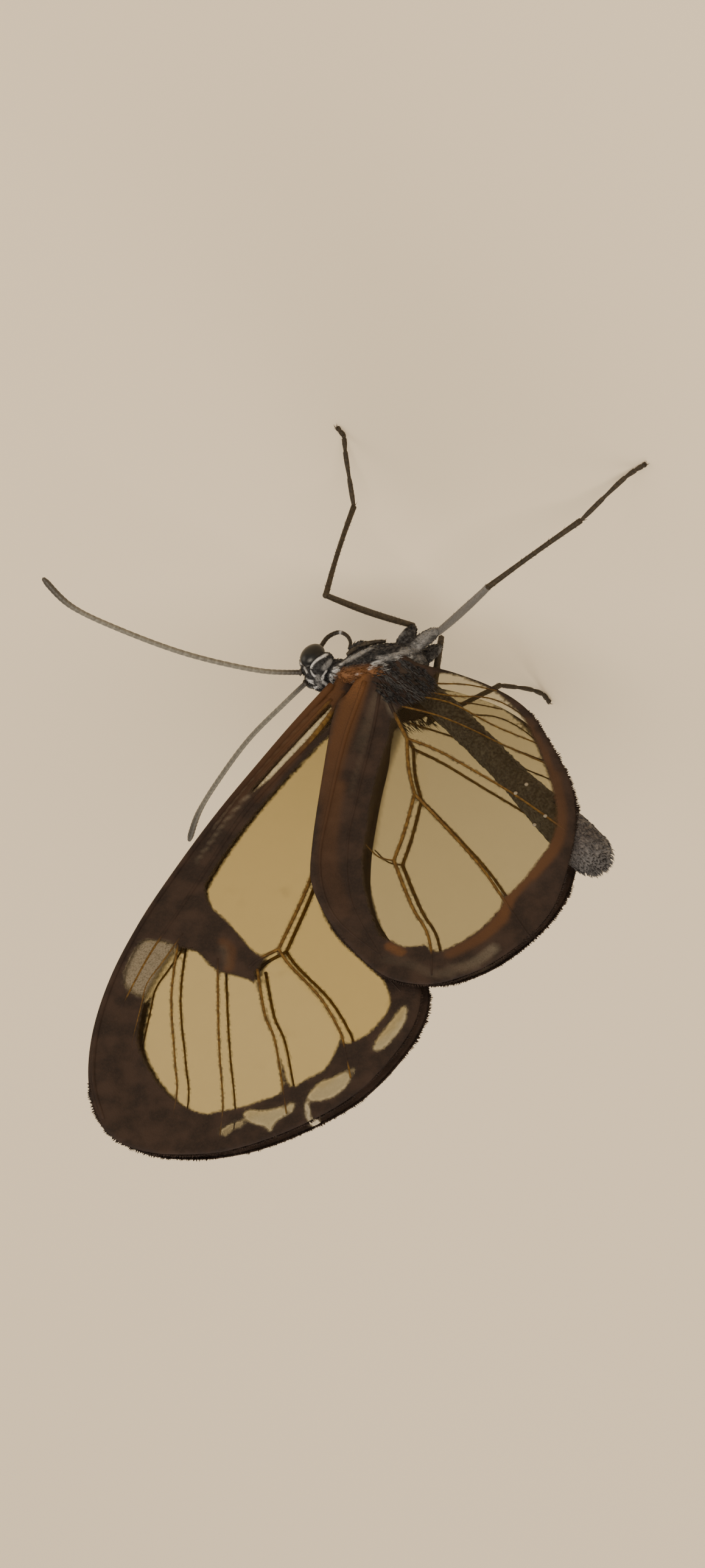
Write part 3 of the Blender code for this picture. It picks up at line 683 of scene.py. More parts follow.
def stroke_amount(points, strokes, core=0.25):
    """The strongest of several soft strokes at each point, full over core of their width."""
    amount = np.zeros(len(points))
    for line, width, start, end in strokes:
        gap, along = line_distance(points, smooth_line(line, STROKE_STEPS))
        strength = start + (end - start) * along
        amount = np.maximum(amount, strength * (1.0 - soft_step(gap, core * width, width)))
    return amount


def openings(wing, window_shift):
    """The clear cells and the windows of a wing: tint, haze and closed line of each."""
    for tint, cell in wing["cells"].values():
        yield tint, 0.0, smooth_line(cell, OPENING_STEPS, closed=True)
    for tint, haze, cell in wing["windows"].values():
        yield tint, haze, smooth_line(cell, OPENING_STEPS, closed=True) + window_shift


def wing_marks(points, wing, with_veins=True, grown=0.0):
    """What the membrane's paint reads: distance past the cells' edges, and the tints."""
    edge = np.full(len(points), np.inf)
    amber = np.zeros(len(points))
    pale = stroke_amount(points, wing["pale"])
    for tint, haze, loop in openings(wing, FAR_WINDOW_SHIFT if grown else 0.0):
        gap = loop_distance(points, loop) - grown
        edge = np.minimum(edge, gap)
        amber = np.where(gap < TINT_REACH, np.maximum(amber, tint), amber)
        pale = np.maximum(pale, haze * (1.0 - soft_step(gap, *WINDOW_BLUR)))
    if with_veins:
        for line, start, end in wing["veins"]:
            gap, along = line_distance(points, smooth_line(line, VEIN_STEPS))
            edge = np.maximum(edge, (start + (end - start) * along) * VEIN_BORDER - gap)
    dust = np.maximum(stroke_amount(points, wing["dust"]), wing["smoke"])
    return np.column_stack((edge, stroke_amount(points, wing["rufous"]), pale, dust, amber))


def membrane_points(loop):
    """A grid of points inside the outline."""
    low = loop.min(axis=0)
    high = loop.max(axis=0)
    spacing = ROW_SPACING * MEMBRANE_GRID
    rows = []
    for k in range(int((high[1] - low[1]) / spacing)):
        x = np.arange(low[0] + 0.5 * MEMBRANE_GRID * (k % 2), high[0], MEMBRANE_GRID)
        z = np.full(len(x), low[1] + spacing * (k + 0.5))
        rows.append(np.column_stack((x, z)))
    grid = np.vstack(rows)
    return grid[loop_distance(grid, loop) < -0.5 * MEMBRANE_GRID]


def resampled(loop, spacing):
    """The closed line again with its points spread evenly."""
    loop = np.vstack((loop, loop[:1]))
    lengths = np.concatenate(((0.0,), np.cumsum(np.linalg.norm(np.diff(loop, axis=0), axis=1))))
    places = np.linspace(0.0, lengths[-1], int(lengths[-1] / spacing), endpoint=False)
    return np.column_stack([np.interp(places, lengths, loop[:, k]) for k in (0, 1)])


def pleat(points, wing):
    """The membrane stands a little proud between the veins."""
    gap = np.full(len(points), np.inf)
    for line, _, _ in wing["veins"]:
        gap = np.minimum(gap, line_distance(points, smooth_line(line, 2))[0])
    return PLEAT_HEIGHT * soft_step(gap, 0.0, PLEAT_REACH)


def make_wing(name, paints):
    """Two thin sheets joined at the rim, with veins and fringe. Right wings' faces run the other way."""
    place = WING_PLACES[name]
    wing, side = place["wing"], place["side"]
    loop = resampled(smooth_line(wing["outline"], OUTLINE_STEPS, closed=True), MEMBRANE_GRID)
    points = np.vstack((loop, membrane_points(loop)))
    edges = [(i, (i + 1) % len(loop)) for i in range(len(loop))]
    flat, _, triangles, *_ = delaunay_2d_cdt([Vector(p) for p in points], edges, [], 1, 1e-5)
    flat = np.array(flat)
    shape = Shape(*WING_MARKS)
    marks = wing_marks(flat, wing, grown=FAR_GROWTH if side == LEFT else 0.0)
    rim = soft_step(-loop_distance(flat, loop), 0.0, RIM_WIDTH)
    height = wing["height"](flat) + pleat(flat, wing)
    thickness = MEMBRANE_THICKNESS * (RIM_THICKNESS + (1.0 - RIM_THICKNESS) * rim) / 2
    outer = raised(flat, height + thickness, place)
    inner = raised(flat, height - thickness, place)
    count = len(flat)
    faces = []
    border = {}
    for a, b, c in triangles:
        faces.append((a, b, c)[::side])
        faces.append((count + c, count + b, count + a)[::side])
        for edge in ((a, b), (b, c), (c, a)):
            if edge[::-1] in border:
                del border[edge[::-1]]
            else:
                border[edge] = True
    faces += [(b, a, count + a, count + b)[::side] for a, b in border]
    shape.add(np.vstack((outer, inner)), faces, np.vstack((marks, marks)))
    for line, start, end in wing["veins"]:
        add_vein(shape, smooth_line(line, VEIN_STEPS), start, end, place)
    add_fringe(shape, loop, place)
    # Painted glints go on the outer face of the right wings only
    if side == RIGHT:
        add_glint_specks(shape, place)
    make_piece(name + "_skin", shape, paints, [name])


def add_vein(shape, line, start, end, place):
    wing = place["wing"]
    path = raised(line, wing["height"](line) + pleat(line, wing), place)
    radii = start + (end - start) * np.linspace(0.0, 1.0, len(line)) ** VEIN_TAPER
    marks = wing_marks(line, wing, with_veins=False)
    marks[:, 0] = soft_step(marks[:, 0] + THICK_VEIN_COVER * radii**2, 0.1, 0.26)
    vein = tube(path, radii * VEIN_FULLNESS, VEIN_SIDES)
    shape.add(*vein, along_tube(marks, VEIN_SIDES), slot=VEIN_SLOT)


def add_glint_specks(shape, place):
    """Small pale balls on the outer face of a wing: painted glints."""
    ball, faces = ball_shape(10, 7)
    wing = place["wing"]
    for spot in wing["glint_specks"]:
        points = np.array([spot])
        centre = raised(points, wing["height"](points) + GLINT_SPECK_HEIGHT, place)[0]
        shape.add(ball * GLINT_SPECK_RADIUS * (1.0, 0.6, 1.0) + centre, faces, GLINT_SPECK_MARKS)


FRINGE_DENSITY = 4
FRINGE_LENGTH = 0.1
FRINGE_SHORTEST = 0.03
FRINGE_RAGGED = 0.15
FRINGE_WAVES = ((0.035, 3.1, 1.0), (0.2, 9.7, 0.6))
FRINGE_ROOT = 0.06
FRINGE_LEAN = 0.06
FRINGE_WIDTH = 0.05
FRINGE_FADES = (1.0, 1.0, 0.5, 0.0, 0.0)
FRINGE_EDGE = (1.0, 0.0, 0.0, 0.0, 0.0)


def add_fringe(shape, loop, place):
    """The outer margin's fringe of small scales, ragged in places."""
    wing = place["wing"]
    draw = random.Random(wing["seed"])
    first, last = (int(np.argmin(np.linalg.norm(loop - p, axis=1))) for p in np.array(wing["fringe"]))
    span = (last - first) % len(loop)
    marks = wing_marks(loop, wing)
    for i in range(span * FRINGE_DENSITY):
        step = (first + i / FRINGE_DENSITY) % len(loop)
        low = int(step)
        near, far = loop[low], loop[(low + 1) % len(loop)]
        root = near + (far - near) * (step - low)
        along = unit(far - near)
        out = np.array((along[1], -along[0]))
        if inside((root + out * 0.05)[None], loop)[0]:
            out = -out
        wave = sum(size * noise.noise(Vector((i * pace, row, 0.0))) for pace, row, size in FRINGE_WAVES)
        length = max(FRINGE_LENGTH + FRINGE_RAGGED * wave + draw.uniform(-0.02, 0.02), FRINGE_SHORTEST)
        tip = root + out * length + along * draw.uniform(-FRINGE_LEAN, FRINGE_LEAN)
        height = wing["height"](root[None])[0] + draw.uniform(-0.015, 0.015)
        heights = np.array((height, height + draw.uniform(-0.02, 0.02)))
        start, end = raised(np.array((root - out * FRINGE_ROOT, tip)), heights, place)
        blade = spike(start, end, FRINGE_WIDTH, draw.uniform(0.0, math.pi))
        shape.add(*blade, marks[low] * FRINGE_FADES + FRINGE_EDGE)


def make_wings():
    paints = [membrane_paint(), vein_paint()]
    for name in WING_PLACES:
        make_wing(name, paints)


# Body
BODY_MARKS = ("rufous", "pale")


def pale_marks(pale):
    """Marks of the body's paint with no rufous."""
    return np.column_stack((np.zeros(len(pale)), pale))


def make_form(name, points, faces, marks, paint, node):
    """A piece of one closed form in a paint of the body."""
    shape = Shape(*BODY_MARKS)
    shape.add(points, faces, marks)
    make_piece(name, shape, [paint], [node])


def egg(centre, half, pitch=0.0):
    """An egg-shaped form: centre, half sizes, and its turn for a pitch in degrees, front end up."""
    turn = Matrix.Rotation(-math.radians(pitch), 3, "Y")
    return np.array(centre, float), np.array(half, float), np.array(turn)


SKIN_RELAX = 0.6
SKIN_RELAX_STEPS = 6


def skin(forms, voxel, extra=()):
    """One smooth closed surface over several overlapping eggs and tubes, with its normals."""
    ball, ball_faces = ball_shape(28, 20)
    shape = Shape()
    for centre, half, turn in forms:
        shape.add(ball * half @ turn.T + centre, ball_faces)
    for points, faces in extra:
        shape.add(points, faces)
    mesh = bpy.data.meshes.new("forms")
    mesh.from_pydata(np.vstack(shape.points).tolist(), [], shape.faces)
    form = add_object("forms", mesh)
    remesh = form.modifiers.new("remesh", "REMESH")
    remesh.mode = "VOXEL"
    remesh.voxel_size = voxel
    relax = form.modifiers.new("relax", "SMOOTH")
    relax.factor = SKIN_RELAX
    relax.iterations = SKIN_RELAX_STEPS
    bpy.context.view_layer.update()
    result = form.evaluated_get(bpy.context.evaluated_depsgraph_get()).to_mesh()
    whole = np.empty(len(result.vertices) * 3)
    result.vertices.foreach_get("co", whole)
    normals = np.empty(len(result.vertices) * 3)
    result.vertex_normals.foreach_get("vector", normals)
    whole_faces = [tuple(face.vertices) for face in result.polygons]
    bpy.data.objects.remove(form)
    bpy.data.meshes.remove(mesh)
    return whole.reshape(-1, 3), whole_faces, normals.reshape(-1, 3)


def ball_shape(around, rings):
    points = [(0.0, 0.0, 1.0)]
    for i in range(1, rings):
        polar = math.pi * i / rings
        for k in range(around):
            angle = 2 * math.pi * k / around
            width = math.sin(polar)
            points.append((width * math.cos(angle), width * math.sin(angle), math.cos(polar)))
    points.append((0.0, 0.0, -1.0))
    last = len(points) - 1
    faces = []
    for k in range(around):
        after = (k + 1) % around
        faces.append((0, 1 + k, 1 + after))
        for i in range(rings - 2):
            low = 1 + i * around
            faces.append((low + k, low + around + k, low + around + after, low + after))
        faces.append((last, last - around + after, last - around + k))
    return np.array(points), faces


def body_strokes(points, strokes):
    """Like stroke_amount, for strokes of one strength on both sides of the body."""
    folded = np.column_stack((points[:, 0], np.abs(points[:, 1]), points[:, 2]))
    return stroke_amount(folded, [(line, width, level, level) for line, width, level in strokes], 0.3)


THORAX_FORMS = [egg((-0.55, 0.0, 6.6), (2.15, 1.18, 1.2), 28)] + [
    egg((x, side * y, z), half, pitch)
    for side in SIDES
    for x, y, z, half, pitch in (
        (-1.2, 0.6, 4.95, (0.33, 0.32, 0.85), -10),
        (-1.98, 0.56, 4.85, (0.36, 0.32, 0.98), -30),
        (0.75, 0.5, 6.0, (0.5, 0.3, 0.3), 45),
        (0.3, 0.62, 7.5, (0.75, 0.36, 0.45), 20),
        (-0.9, 0.62, 7.2, (0.8, 0.4, 0.5), 30),
    )
] + [
    egg((1.35, 0.0, 7.25), (0.6, 0.62, 0.62), 20),
    egg((-2.2, 0.0, 6.8), (0.6, 0.75, 0.75), 20),
]
# Stripes and spots: line, width and strength, on both sides
THORAX_PALE = [
    ([(1.03, 0.7, 7.13), (0.7, 0.9, 6.96), (0.46, 0.99, 6.78), (0.25, 1.02, 6.52), (0.09, 1.04, 6.37)],
     0.27, 0.42),
    ([(0.06, 1.0, 6.2), (-0.3, 1.0, 5.6), (-1.0, 0.85, 4.98)], 0.24, 0.16),
    ([(-0.61, 1.13, 6.9), (-1.22, 1.09, 6.51), (-1.57, 0.96, 5.96)], 0.22, 0.3),
    ([(-1.57, 0.96, 5.96), (-1.9, 0.75, 5.39), (-2.17, 0.85, 4.53), (-2.5, 0.7, 4.3)], 0.36, 0.26),
    ([(-2.3, 0.7, 6.3), (-2.5, 0.6, 5.6), (-2.6, 0.6, 5.0)], 0.4, 0.2),
    ([(-1.33, 1.04, 6.63), (-1.4, 1.0, 6.5)], 0.18, 0.45),
    ([(-1.29, 0.94, 7.18), (-1.34, 0.94, 7.1)], 0.14, 0.5),
    ([(-1.89, 0.85, 6.16), (-1.8, 0.85, 6.1)], 0.16, 0.5),
    ([(-0.32, 0.96, 7.4), (-0.45, 1.05, 7.2), (-0.61, 1.1, 7.01), (-0.79, 1.04, 7.11), (-1.03, 0.97, 7.37)],
     0.13, 0.55),
    ([(-0.95, 0.72, 4.9), (-0.9, 0.76, 4.4)], 0.2, 0.35),
    ([(1.31, 0.55, 7.5), (1.34, 0.5, 7.55)], 0.19, 0.95),
    ([(1.48, 0.32, 7.75), (1.48, 0.05, 7.84)], 0.13, 0.8),
    ([(1.13, 0.62, 7.19), (1.16, 0.62, 7.2)], 0.12, 0.8),
    ([(0.12, 0.87, 7.77), (0.33, 0.4, 7.97)], 0.1, 0.3),
]
THORAX_RUFOUS = [
    ([(1.0, 0.5, 7.9), (0.36, 0.87, 7.83), (-0.26, 0.86, 7.57), (-0.7, 0.7, 7.6)], 0.5, 0.85),
    ([(0.4, 0.5, 7.95), (-0.3, 0.5, 7.9), (-0.79, 0.58, 7.76)], 0.5, 0.7),
]

HEAD_FORMS = [egg((2.3, 0.0, 7.28), (0.62, 0.72, 0.82)), egg((2.85, 0.0, 7.1), (0.3, 0.38, 0.6))] + [
    egg((2.05, side * 0.52, 7.36), (0.46, 0.5, 0.68), -20) for side in SIDES
]
HEAD_PALE = [
    ([(2.37, 0.75, 7.83), (2.15, 0.99, 7.53), (1.95, 1.0, 7.26), (1.8, 0.95, 6.9)], 0.105, 0.95),
    ([(2.88, 0.26, 7.53), (2.63, 0.34, 7.84)], 0.1, 0.85),
    ([(2.35, 0.58, 7.95), (2.19, 0.37, 7.99)], 0.1, 0.9),
    ([(2.6, 0.0, 7.98), (2.32, 0.08, 8.09)], 0.1, 0.8),
    ([(1.72, 0.49, 7.71), (1.91, 0.05, 7.9)], 0.12, 0.95),
    ([(1.62, 0.74, 7.25), (1.76, 0.73, 7.69)], 0.2, 0.3),
    ([(2.05, 0.13, 8.01), (2.04, 0.4, 7.97)], 0.16, 0.25),
    ([(3.1, 0.3, 7.4), (3.1, 0.25, 7.0)], 0.1, 0.8),
]
EYE = egg((2.55, 0.74, 7.16), (0.5, 0.47, 0.66), -20)
EYE_CLEARANCE = 1.1
UNWRAP_REAR = -14.0
UNWRAP_LENGTH = 18.0
UNWRAP_MARGIN = 0.05
TUFT_LENGTHS = (0.7, 1.3)
BLADE_LENGTHS = (0.75, 1.15)
BLADE_BEND = 0.12
ROOT_DEPTH = 0.03
ROOT_SPREAD = 0.04


def place_root(point, centre):
    """A tuft's place on an unwrap of the body: angle round it, and distance along it."""
    angle = math.atan2(point[1] - centre[1], point[2] - centre[2])
    along = min(max((point[0] - UNWRAP_REAR) / UNWRAP_LENGTH, 0.0), 1.0)
    around = 0.5 + (0.5 - UNWRAP_MARGIN) * angle / math.pi
    return (around, UNWRAP_MARGIN + (1.0 - 2.0 * UNWRAP_MARGIN) * along)


def near_eye(point):
    """True over an eye, where no tuft grows."""
    centre, half, turn = EYE
    folded = np.array((point[0], abs(point[1]), point[2])) - centre
    return np.linalg.norm(turn.T @ folded / half) < EYE_CLEARANCE


def coat(name, points, normals, faces, marks, settings, paint, slot):
    """Tufts of hair or scales over a skin, lying along settings["lie"]."""
    draw = random.Random(settings["seed"])
    shape = Shape(*BODY_MARKS)
    face_list = np.array([face[:3] for face in faces])
    corners = points[face_list]
    areas = np.linalg.norm(np.cross(corners[:, 1] - corners[:, 0], corners[:, 2] - corners[:, 0]), axis=1)
    totals = np.cumsum(areas)
    for _ in range(settings["count"]):
        face = int(np.searchsorted(totals, draw.uniform(0.0, totals[-1])))
        face = min(face, len(face_list) - 1)
        u, v = draw.random(), draw.random()
        if u + v > 1.0:
            u, v = 1.0 - u, 1.0 - v
        a, b, c = face_list[face]
        root = points[a] + u * (points[b] - points[a]) + v * (points[c] - points[a])
        normal = normals[a]
        length = settings["length"](root) * draw.uniform(*TUFT_LENGTHS)
        if near_eye(root):
            continue
        lie = square_to(settings["lie"], normal)
        spot = place_root(root, points.mean(axis=0))
        for _ in range(settings["blades"]):
            swing = scatter(draw, settings["spread"])
            way = unit(lie * (1.0 - settings["rise"]) + normal * settings["rise"] + swing)
            tip = root + way * length * draw.uniform(*BLADE_LENGTHS)
            start = root - normal * ROOT_DEPTH + swing * ROOT_SPREAD
            bend = normal * length * BLADE_BEND
            blade = spike(start, tip, settings["width"], draw.uniform(0.0, math.pi), bend)
            shape.add(*blade, marks[a], root=spot)
    make_piece(name, shape, [paint], coat=True)


WING_BASE = [
    (-0.7, 6.9), (-0.5, 7.8), (-1.0, 8.5), (-1.6, 8.9), (-2.6, 8.8), (-3.2, 8.3), (-3.5, 7.7), (-3.0, 6.9),
    (-2.0, 6.6), (-1.2, 6.4),
]
WING_BASE_LIE = np.array((-0.86, 0.0, 0.51))
WING_BASE_TUFTS = 800
WING_BASE_BLADES = 3
WING_BASE_SEED = 31
WING_BASE_CENTRE = (0.0, 0.0, 6.6)
STRAND_WAY = np.array(((0.51, 0.86), (-0.86, 0.51)))


def make_wing_base_coat(paint):
    """Dark hair with paler strands over the root of each hindwing."""
    draw = random.Random(WING_BASE_SEED)
    loop = smooth_line(WING_BASE, 5, closed=True)
    low = loop.min(axis=0)
    high = loop.max(axis=0)
    shape = Shape(*BODY_MARKS)
    for _ in range(WING_BASE_TUFTS):
        spot = np.array([[draw.uniform(low[0], high[0]), draw.uniform(low[1], high[1])]])
        side = draw.choice(SIDES)
        if not inside(spot, loop)[0]:
            continue
        root = np.array((spot[0, 0], side * (hindwing_height(spot)[0] + 0.05), spot[0, 1]))
        strand = noise.noise(Vector((spot[0] @ STRAND_WAY[0] * 2.2, 0.3 * spot[0] @ STRAND_WAY[1], 7.7)))
        pale = max(0.0, 0.12 * strand + 0.01)
        place = place_root(root, WING_BASE_CENTRE)
        for _ in range(WING_BASE_BLADES):
            way = WING_BASE_LIE + scatter(draw, 0.12) * (1.0, 0.0, 1.0)
            tip = root + way * draw.uniform(0.3, 0.65) + np.array((0.0, side * draw.uniform(0.02, 0.1), 0.0))
            blade = spike(root, tip, 0.024, draw.uniform(0.0, math.pi), (0.0, side * 0.04, 0.0))
            shape.add(*blade, (0.0, pale), root=place)
    make_piece("wing_base_coat", shape, [paint], coat=True)


def thorax_hair_length(root):
    """Longest on the back towards the rear, and short on the legs' bases."""
    top = soft_step(root[2] - 0.4 * root[0], 6.6, 8.2)
    return 0.15 + 0.22 * float(top) - 0.04 * float(root[2] < 5.2)


# How each coat grows: tufts, blades to a tuft, and the blades' direction, spread, rise and size
THORAX_COAT = {
    "seed": 5, "count": 5200, "blades": 2, "lie": np.array((-1.0, 0.0, -0.35)), "spread": 0.1, "rise": 0.14,
    "width": 0.024, "length": thorax_hair_length,
}
HEAD_COAT = {
    "seed": 7, "count": 1700, "blades": 2, "lie": np.array((-0.6, 0.0, 0.6)), "spread": 0.12, "rise": 0.2,
    "width": 0.018, "length": lambda root: 0.1 if root[0] < 2.9 else 0.14,
}
ABDOMEN_COAT = {
    "seed": 9, "count": 6000, "blades": 1, "spread": 0.08, "rise": 0.08, "width": 0.035,
    "length": lambda root: 0.18 if root[0] > -12.8 else 0.26,
}


THORAX_VOXEL = 0.07


def make_thorax():
    points, faces, normals = skin(THORAX_FORMS, THORAX_VOXEL)
    marks = np.column_stack((body_strokes(points, THORAX_RUFOUS), body_strokes(points, THORAX_PALE)))
    paint = scale_paint("thorax_scales", BODY_BLACK, BODY_GREY, ORANGE)
    make_form("thorax_skin", points, faces, marks, paint, "thorax")
    coat("thorax_coat", points, normals, faces, marks, THORAX_COAT, paint, "body_scales")
    make_wing_base_coat(paint)


PALP_PATH = [(2.75, 0.26, 6.5), (3.0, 0.27, 6.6), (3.12, 0.27, 7.0), (3.08, 0.27, 7.4)]
PALP_RADII = (0.2, 0.1)
HEAD_VOXEL = 0.05


def make_head():
    palps = []
    for side in SIDES:
        line = smooth_line(on_side(PALP_PATH, side), 4)
        palps.append(tube(line, np.linspace(*PALP_RADII, len(line)), 10))
    points, faces, normals = skin(HEAD_FORMS, HEAD_VOXEL, palps)
    marks = pale_marks(body_strokes(points, HEAD_PALE))
    paint = scale_paint("head_scales", BODY_BLACK, HEAD_GREY)
    make_form("head_skin", points, faces, marks, paint, "head")
    coat("head_coat", points, normals, faces, marks, HEAD_COAT, paint, "body_scales")
    eyes = eye_paint()
    ball, ball_faces = ball_shape(40, 28)
    for side in SIDES:
        centre, half, turn = EYE
        shape = Shape()
        shape.add(ball * half @ turn.T + on_side(centre, side), ball_faces)
        name = side_name("eye", side)
        make_piece(name + "_ball", shape, [eyes], [name])


ANTENNA_PATHS = {
    RIGHT: [
        (2.9, -0.3, 7.9), (4.6, -0.9, 8.75), (7.4, -2.35, 9.8), (10.1, -4.05, 10.55), (12.15, -5.6, 11.0),
        (13.4, -6.9, 10.8),
    ],
    LEFT: [
        (2.7, 0.3, 7.95), (3.8, 1.65, 8.3), (5.7, 4.15, 8.8), (7.4, 6.95, 9.3), (8.7, 9.45, 9.65),
        (9.5, 11.7, 9.75),
    ],
}
ANTENNA_STEPS = 60
ANTENNA_RINGS = 46
RING_STEPS = 5
RING_SWELLING = 0.1
ANTENNA_RADIUS = 0.112
CLUB_SWELLING = 0.03
ANTENNA_TIP_TAPER = 0.05
ANTENNA_BASE_SWELLING = 0.06


def make_antennae():
    paint = antenna_paint()
    for side in SIDES:
        line = smooth_line(ANTENNA_PATHS[side], ANTENNA_STEPS)
        steps = np.linspace(0.0, len(line) - 1, ANTENNA_RINGS * RING_STEPS + 1).astype(int)
        t = np.linspace(0.0, 1.0, len(steps))
        radii = ANTENNA_RADIUS + CLUB_SWELLING * soft_step(t, 0.72, 0.9)
        radii = radii - ANTENNA_TIP_TAPER * soft_step(t, 0.95, 1.0)
        radii = radii + ANTENNA_BASE_SWELLING * (1.0 - soft_step(t, 0.0, 0.02))
        ring = np.arange(len(steps)) % RING_STEPS
        radii = radii * (1.0 + RING_SWELLING * np.sin(ring / RING_STEPS * math.pi))
        points, faces = tube(line[steps], radii)
        pale = np.where(ring == 0, 1.0, 0.7) * soft_step(t, 0.02, 0.2)
        pale = pale * (1.0 - 0.85 * soft_step(t, 0.7, 0.92))
        name = side_name("antenna", side)
        make_form(name + "_rings", points, faces, along_tube(pale_marks(pale)), paint, name)


PROBOSCIS_PATH = [
    (2.75, 0.0, 6.5), (2.68, 0.0, 5.85), (2.59, 0.0, 5.35), (2.34, 0.0, 5.01), (2.08, 0.0, 4.9),
    (1.72, 0.0, 5.04), (1.45, 0.0, 5.36), (1.36, 0.0, 5.75),
]
PROBOSCIS_TINTS = ((0.014, 0.011, 0.009), (0.03, 0.022, 0.016))
PROBOSCIS_RADIUS = 0.12
PROBOSCIS_TAPER = 0.04
GLINT_PLACE = 0.56
GLINT_LENGTH = 0.03


def make_proboscis():
    line = smooth_line(PROBOSCIS_PATH, 10)
    t = np.linspace(0.0, 1.0, len(line))
    ribs = 1.0 + 0.05 * np.sin(np.arange(len(line)) * math.pi / 2)
    radii = (PROBOSCIS_RADIUS - PROBOSCIS_TAPER * t) * ribs
    points, faces = tube(line, radii)
    marks = pale_marks(0.6 * np.exp(-(((t - GLINT_PLACE) / GLINT_LENGTH) ** 2)))
    paint = scale_paint("proboscis_horn", *PROBOSCIS_TINTS, roughness=0.3)
    make_form("proboscis_coil", points, faces, along_tube(marks), paint, "proboscis")


ABDOMEN_SAG = 0.25
ABDOMEN_DROOP = 0.35
ABDOMEN_SEGMENTS = 9
ABDOMEN_ROWS = 8
ABDOMEN_AROUND = 40
ABDOMEN_START = 0.1
ABDOMEN_NARROWNESS = 0.88
ABDOMEN_WAIST = 0.48
ABDOMEN_FRONT_SWELLING = 0.14
ABDOMEN_REAR_SWELLING = 0.34
ABDOMEN_TIP_TAPER = 0.25
SEGMENT_FLARE = 0.035
SEGMENT_GROOVE = 0.02
GROOVE_WIDTH = 0.08


def make_abdomen():
    """Each segment widens to its rear edge and steps in under the next one."""
    count = ABDOMEN_SEGMENTS * ABDOMEN_ROWS
    t = np.linspace(0.0, 1.0, count + 1)
    start, end = ABDOMEN_LINE
    sink = ABDOMEN_SAG * np.sin(math.pi * t)
    path = np.column_stack((
        start[0] + ABDOMEN_START + (end[0] - start[0] - ABDOMEN_START) * t,
        np.zeros(count + 1),
        start[1] + (end[1] - start[1]) * t - sink - ABDOMEN_DROOP * soft_step(t, 0.55, 1.0),
    ))
    radii = ABDOMEN_WAIST + ABDOMEN_FRONT_SWELLING * soft_step(t, 0.0, 0.2)
    radii = radii + ABDOMEN_REAR_SWELLING * soft_step(t, 0.5, 0.9)
    radii = radii - ABDOMEN_TIP_TAPER * soft_step(t, 0.95, 1.0)
    phase = (np.arange(count + 1) % ABDOMEN_ROWS) / ABDOMEN_ROWS
    radii = radii + SEGMENT_FLARE * phase - SEGMENT_GROOVE * np.exp(-((phase / GROOVE_WIDTH) ** 2))
    points, faces = tube(path, radii, ABDOMEN_AROUND, ABDOMEN_NARROWNESS)
    rows = np.concatenate((np.repeat(np.arange(count + 1), ABDOMEN_AROUND), (0, count)))
    around = np.concatenate((np.tile(np.arange(ABDOMEN_AROUND), count + 1), (0, 0)))
    lower = soft_step(np.cos(2 * math.pi * around / ABDOMEN_AROUND + math.pi), 0.55, 0.95)
    tip = soft_step(rows / count, 0.93, 1.0)
    edge = np.where(rows % ABDOMEN_ROWS == ABDOMEN_ROWS - 1, 0.03, 0.0)
    marks = pale_marks(np.clip(0.08 * lower + 0.08 * tip + edge, 0.0, 1.0))
    paint = scale_paint("abdomen_scales", ABDOMEN_DARK, ABDOMEN_GREY)
    make_form("abdomen_skin", points, faces, marks, paint, "abdomen")
    normals = points - along_tube(path, ABDOMEN_AROUND)
    normals /= np.linalg.norm(normals, axis=1)[:, None]
    along = Vector((end[0] - start[0], 0.0, end[1] - start[1])).normalized()
    settings = {**ABDOMEN_COAT, "lie": np.array(along)}
    coat("abdomen_coat", points, normals, faces, marks, settings, paint, "abdomen_scales")


# Hip, knee, ankle, sole and claw of each walking leg
LEG_POINTS = {
    "midleg_right": [
        (-1.0, -0.6, 4.1), (1.2, -5.5, 7.4), (1.6, -6.1, 2.5), (2.4, -7.5, 0.9), (3.0, -8.5, 0.0),
    ],
    "midleg_left": [
        (-1.0, 0.6, 4.1), (1.2, 5.0, 7.2), (2.0, 6.3, 2.6), (2.7, 7.7, 0.9), (3.2, 8.6, 0.0),
    ],
    "hindleg_right": [
        (-2.6, -0.65, 4.1), (-5.5, -4.9, 4.6), (-9.1, -7.2, 1.7), (-10.7, -8.9, 0.5), (-11.8, -9.9, 0.0),
    ],
    "hindleg_left": [
        (-2.3, 0.68, 3.7), (-2.7, 2.6, 6.9), (-4.2, 5.0, 2.1), (-5.0, 6.6, 0.7), (-5.7, 8.0, 0.0),
    ],
}
LIMB_STEPS = 25
FEMUR_BOW = (0.0, 0.0, 0.1)
TIBIA_BOW = (0.06, 0.0, 0.05)
FOOT_LENGTH = 0.5
FEMUR_RADIUS = 0.145
HIND_FEMUR_RADIUS = 0.17
KNEE_RADIUS = 0.15
TIBIA_RADIUS = 0.13
TARSUS_RADIUS = 0.115
TARSUS_SEGMENTS = 5
SPUR_WIDTH = 0.045
SPUR_LENGTH = 0.28
SPUR_SPREAD = 0.16
SPUR_ROOT = 0.1
CLAW_WIDTH = 0.035
CLAW_LENGTH = 0.2
CLAW_SPREAD = 0.1
CLAW_ROOT = 0.05
CLAW_LIFT = np.array((0.0, 0.0, 0.03))
CLAW_DROP = np.array((0.0, 0.0, 0.08))
CLAW_BEND = (0.0, 0.0, 0.05)
LEG_MARKS = (0.0, 0.01)
FEMUR_MARKS = (0.0, 0.02)
HIND_FEMUR_MARKS = (0.0, 0.2)
FORELEG_MARKS = (0.0, 0.04)
UP = (0.0, 0.0, 1.0)

